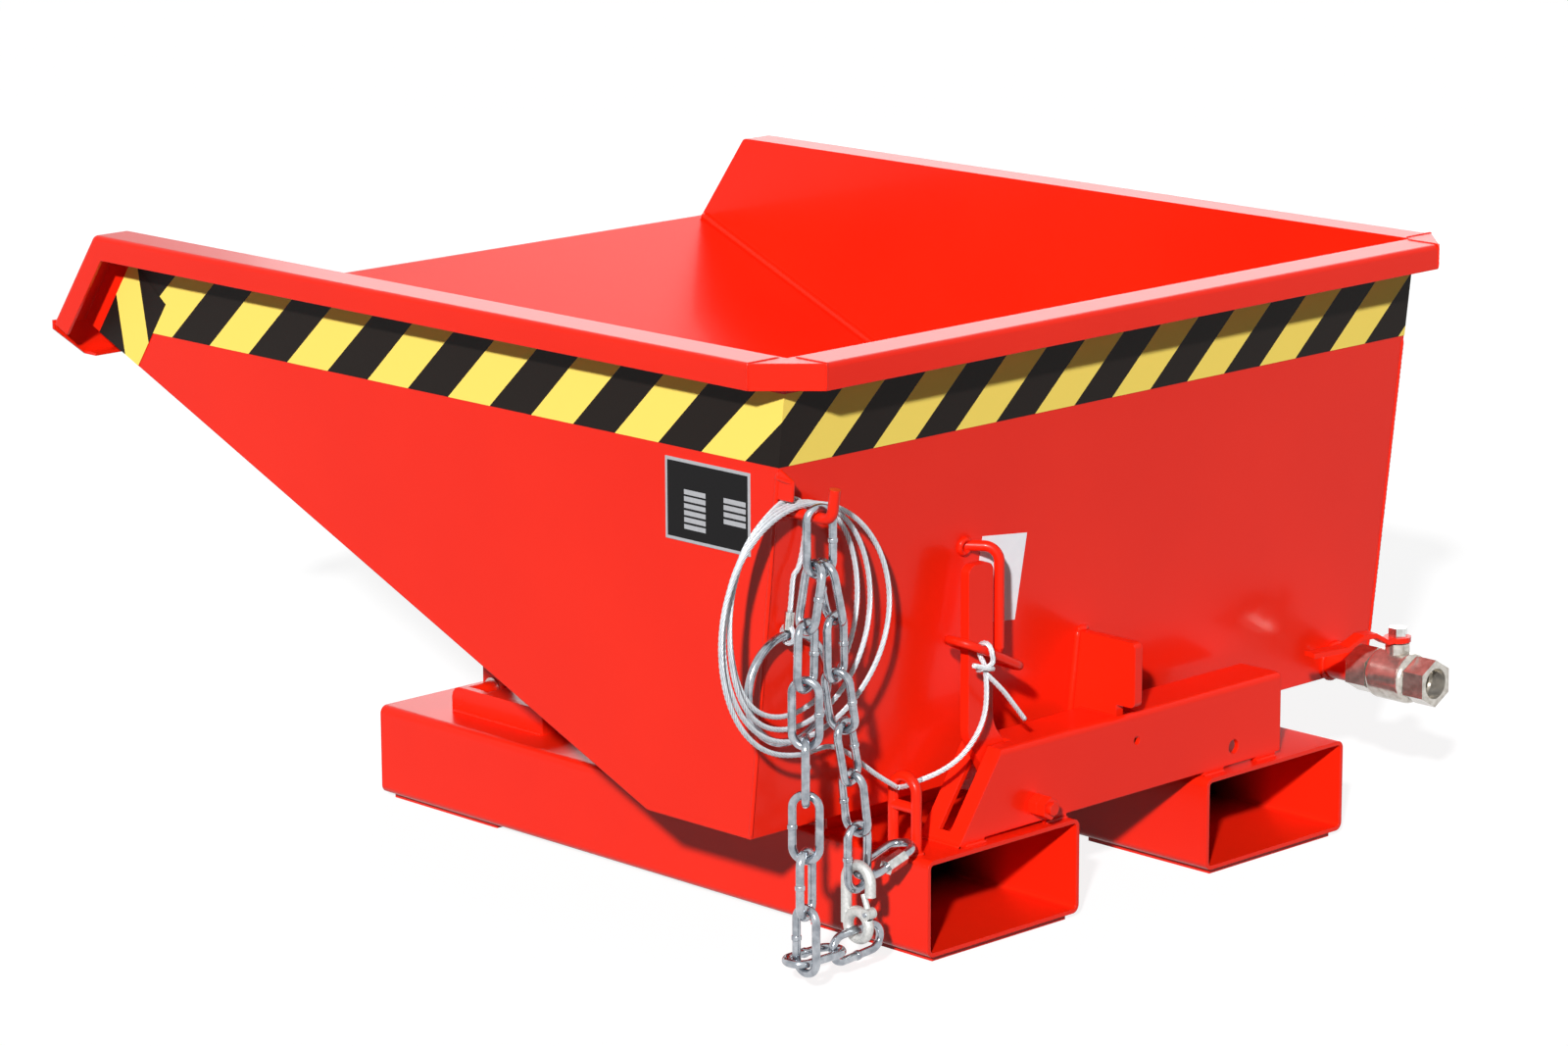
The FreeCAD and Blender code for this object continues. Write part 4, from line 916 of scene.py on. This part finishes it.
def ringRun(centre, radius, first, second, count=bead["ringSteps"]):
    centre, first, second = Vector(centre), Vector(first), Vector(second)
    places = []
    for step in range(count):
        angle = 2 * math.pi * step / count
        across, over = radius * math.cos(angle), radius * math.sin(angle)
        places.append(tuple(centre + first * across + second * over))
    return places + places[:1]


def wallRun(y, heights, out):
    return [onWall(y, z, out) for z in heights]


def addSkipWelds():
    wallUp = Vector((-wall["lean"], 0, 1)).normalized()
    across = Vector((0, 1, 0))
    seams = []
    for y in (seamWeld["y"], -seamWeld["y"]):
        seams.append([(x, y, z) for x, z in (seamWeld["slopeFoot"], seamWeld["slopeTop"])])
        seams.append(wallRun(y, seamWeld["wallZ"], -seamWeld["inside"]))
    addBead("seamBeads", "skip", seams, seamWeld["radius"])
    corners = []
    for y in (cornerWeld["y"], -cornerWeld["y"]):
        corners.append(wallRun(y, cornerWeld["wallZ"], -cornerWeld["inside"]))
    addBead("cornerBeads", "skip", corners, cornerWeld["radius"])
    crownX, crownY, crownZ = onWall(lug["face"] - lugWeld["sunk"], lug["shoulder"], 0)
    crown = [
        (crownX + lugWeld["root"], crownY, crownZ + lugWeld["slant"]),
        (crownX - lug["reach"] + lugWeld["tip"], crownY, crownZ - lugWeld["slant"]),
    ]
    addBead("lugBead", "skip", [crown], lugWeld["radius"])
    catch = [wallRun(y, catchWeld["wallZ"], catchWeld["out"]) for y in catchWeld["y"]]
    catch.append([onWall(y, catchWeld["topZ"], 0) for y in catchWeld["y"]])
    addBead("catchBeads", "skip", catch, catchWeld["radius"])
    roots = []
    for root in (hookWeld["storage"], hookWeld["keeper"]):
        roots.append(ringRun(onWall(root["y"], root["z"], hookWeld["out"]), root["ring"], across, wallUp))
    addBead("hookBeads", "skip", roots, hookWeld["radius"])
    nipple = ringRun(
        onWall(nippleWeld["y"], nippleWeld["z"], nippleWeld["out"]), nippleWeld["ring"], across, wallUp,
        nippleWeld["ringSteps"],
    )
    addBead("nippleBead", "skip", [nipple], nippleWeld["radius"])


def addBaseWelds():
    feet = []
    for x in stapleWeld["x"]:
        foot = (x, stapleWeld["y"], stapleWeld["z"])
        feet.append(ringRun(foot, stapleWeld["ring"], (1, 0, 0), (0, 1, 0)))
    addBead("stapleBeads", "base", feet, stapleWeld["radius"])
    bars = []
    for span in crossbarWeld["y"]:
        for x in crossbarWeld["x"]:
            bars.append([(x, y, crossbarWeld["z"]) for y in span])
    bars.append(crossbarWeld["end"])
    addBead("crossbarBeads", "base", bars, crossbarWeld["radius"])
    cheeks = []
    for sign in (1, -1):
        for y in cheekWeld["y"]:
            cheeks.append([(x, sign * y, cheekWeld["z"]) for x in cheekWeld["x"]])
    addBead("cheekBeads", "base", cheeks, cheekWeld["radius"])


def addPatchWelds():
    top, low = patchWeld["topZ"], patchWeld["lowZ"]
    sideX, (innerY, outerY) = patchWeld["sideX"], patchWeld["sideY"]
    (innerX, outerX), rearY = patchWeld["rearX"], patchWeld["rearY"]
    sideRun = ((innerY, top), (outerY, top), (outerY, low))
    rearRun = ((innerX, top), (outerX, top), (outerX, low))
    patches = []
    for sign in (1, -1):
        patches.append([(sideX, sign * y, z) for y, z in sideRun])
        patches.append([(x, sign * rearY, z) for x, z in rearRun])
    addBead("patchBeads", "skip", patches, patchWeld["radius"])


addLug()
addSkipWelds()
addBaseWelds()
addPatchWelds()
print("lug on and welds run")

# chain: the butt weld that closes each link stands proud on one leg
linkWeld = {
    "wire": 0.0076,
    "halfWidth": 0.0123,
    "swell": 0.0008,
    "length": 0.0050,
    "sides": 20,
    "roll": 1.6,  # bevel of the collar's edges, in swells
    "rollSegments": 3,
    "otherLeg": 3,  # one link in so many has its weld on the other leg
    "merge": 1e-6,
    "rounds": 20,  # of the search for a link's directions
}


def mainDirection(offsets):
    # the way in which the points spread most
    way = max(offsets, key=lambda p: p.length).normalized()
    for _ in range(linkWeld["rounds"]):
        way = sum((p * p.dot(way) for p in offsets), Vector()).normalized()
    return way


def linkAxes(node):
    # middle, long direction and wide direction of each link, from a copy of the strand taken apart
    twin = node.copy()
    twin.data = node.data.copy()
    twin.parent = None
    for key in list(twin.keys()):
        del twin[key]
    bpy.context.scene.collection.objects.link(twin)
    bpy.ops.object.select_all(action="DESELECT")
    twin.select_set(True)
    bpy.context.view_layer.objects.active = twin
    bpy.ops.object.mode_set(mode="EDIT")
    bpy.ops.mesh.select_all(action="SELECT")
    bpy.ops.mesh.remove_doubles(threshold=linkWeld["merge"])
    bpy.ops.mesh.separate(type="LOOSE")
    bpy.ops.object.mode_set(mode="OBJECT")
    axes = []
    for link in list(bpy.context.selected_objects):
        data = link.data
        places = [v.co.copy() for v in data.vertices]
        centre = sum(places, Vector()) / len(places)
        offsets = [place - centre for place in places]
        along = mainDirection(offsets)
        side = mainDirection([offset - along * offset.dot(along) for offset in offsets])
        axes.append((centre, along, side))
        bpy.data.objects.remove(link)
        bpy.data.meshes.remove(data)
    return axes


def addLinkWelds(nodeName, pieceName):
    collars = []
    for index, (centre, along, side) in enumerate(linkAxes(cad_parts[nodeName])):
        sign = 1 if index % linkWeld["otherLeg"] else -1
        bpy.ops.mesh.primitive_cylinder_add(
            vertices=linkWeld["sides"],
            radius=linkWeld["wire"] / 2 + linkWeld["swell"],
            depth=linkWeld["length"],
            location=centre + side * (linkWeld["halfWidth"] * sign),
            rotation=Vector((0, 0, 1)).rotation_difference(along).to_euler(),
        )
        collar = bpy.context.object
        bevelEdges(collar, linkWeld["swell"] * linkWeld["roll"], linkWeld["rollSegments"])
        collars.append(collar)
    whole = joinPieces(collars)
    bpy.ops.object.transform_apply(location=True, rotation=True, scale=True)
    bpy.ops.object.shade_smooth()
    whole.name = whole.data.name = pieceName
    whole.data.materials.clear()
    whole.data.materials.append(finishes["zincPlatedChain"])
    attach(whole, "skip")
    whole.select_set(False)


addLinkWelds("chain_left_strand", "leftChainWelds")
addLinkWelds("chain_right_strand", "rightChainWelds")
print("chain welds on")

# floor, sky and lamps
studio = {
    "sun": (0.53, -0.72, -0.45),
    "sunStrength": 4.5,
    "sunAngle": 2.5,
    "sky": 0.07,
    "white": (1, 1, 1, 1),
    "floor": "787878",
    "floorSize": 14,
    "floorGlow": 0.87,
    "fill": 55.0,
    "fillSize": 3.6,
    "fillPlace": (2.2, -3.2, 1.8),
    "fillAim": (0, 0, 0.3),
}


def backgroundRays(tree):
    # one for the rays that see the background, none for those that light the object
    rays = addNode(tree, "ShaderNodeLightPath")
    direct = addNode(
        tree, "ShaderNodeMath", links={0: rays.outputs["Is Camera Ray"], 1: rays.outputs["Is Glossy Ray"]},
        operation="ADD",
    )
    return addNode(
        tree, "ShaderNodeMath", links={0: direct.outputs[0], 1: rays.outputs["Is Transmission Ray"]},
        operation="ADD", use_clamp=True,
    ).outputs[0]


def addFloor():
    bpy.ops.mesh.primitive_plane_add(size=studio["floorSize"])
    floor = bpy.context.object
    floor.name = floor.data.name = "paleFloor"
    material, tree, _ = startMaterial("paleFloor")
    share = addNode(
        tree, "ShaderNodeMath", {1: studio["floorGlow"]}, {0: backgroundRays(tree)}, operation="MULTIPLY"
    )
    matt = addNode(tree, "ShaderNodeBsdfDiffuse", {"Color": hexColour(studio["floor"])})
    glow = addNode(tree, "ShaderNodeEmission", {"Color": studio["white"]}, {"Strength": share.outputs[0]})
    both = addNode(tree, "ShaderNodeAddShader", links={0: matt.outputs[0], 1: glow.outputs[0]})
    addNode(tree, "ShaderNodeOutputMaterial", links={"Surface": both.outputs[0]})
    floor.data.materials.append(material)
    floor.select_set(False)


def addSky():
    world = bpy.data.worlds.new("paleSky")
    bpy.context.scene.world = world
    world.use_nodes = True
    tree = world.node_tree
    tree.nodes.clear()
    strength = addNode(
        tree, "ShaderNodeMapRange",
        {"To Min": studio["sky"], "To Max": 1.0}, {"Value": backgroundRays(tree)},
    )
    sky = addNode(
        tree, "ShaderNodeBackground",
        {"Color": studio["white"]}, {"Strength": strength.outputs["Result"]},
    )
    addNode(tree, "ShaderNodeOutputWorld", links={"Surface": sky.outputs[0]})


def addLamp(name, kind, energy, direction):
    data = bpy.data.lights.new(name, kind)
    data.energy = energy
    lamp = bpy.data.objects.new(name, data)
    bpy.context.scene.collection.objects.link(lamp)
    lamp.rotation_mode = "QUATERNION"
    lamp.rotation_quaternion = Vector(direction).to_track_quat("-Z", "Y")
    return lamp


def addLamps():
    sun = addLamp("keySun", "SUN", studio["sunStrength"], studio["sun"])
    sun.data.angle = math.radians(studio["sunAngle"])
    aim = Vector(studio["fillAim"]) - Vector(studio["fillPlace"])
    fill = addLamp("farFill", "AREA", studio["fill"], aim)
    fill.data.size = studio["fillSize"]
    fill.location = studio["fillPlace"]


addFloor()
addSky()
addLamps()
bpy.context.scene.view_settings.view_transform = "Standard"
print("stage lit")
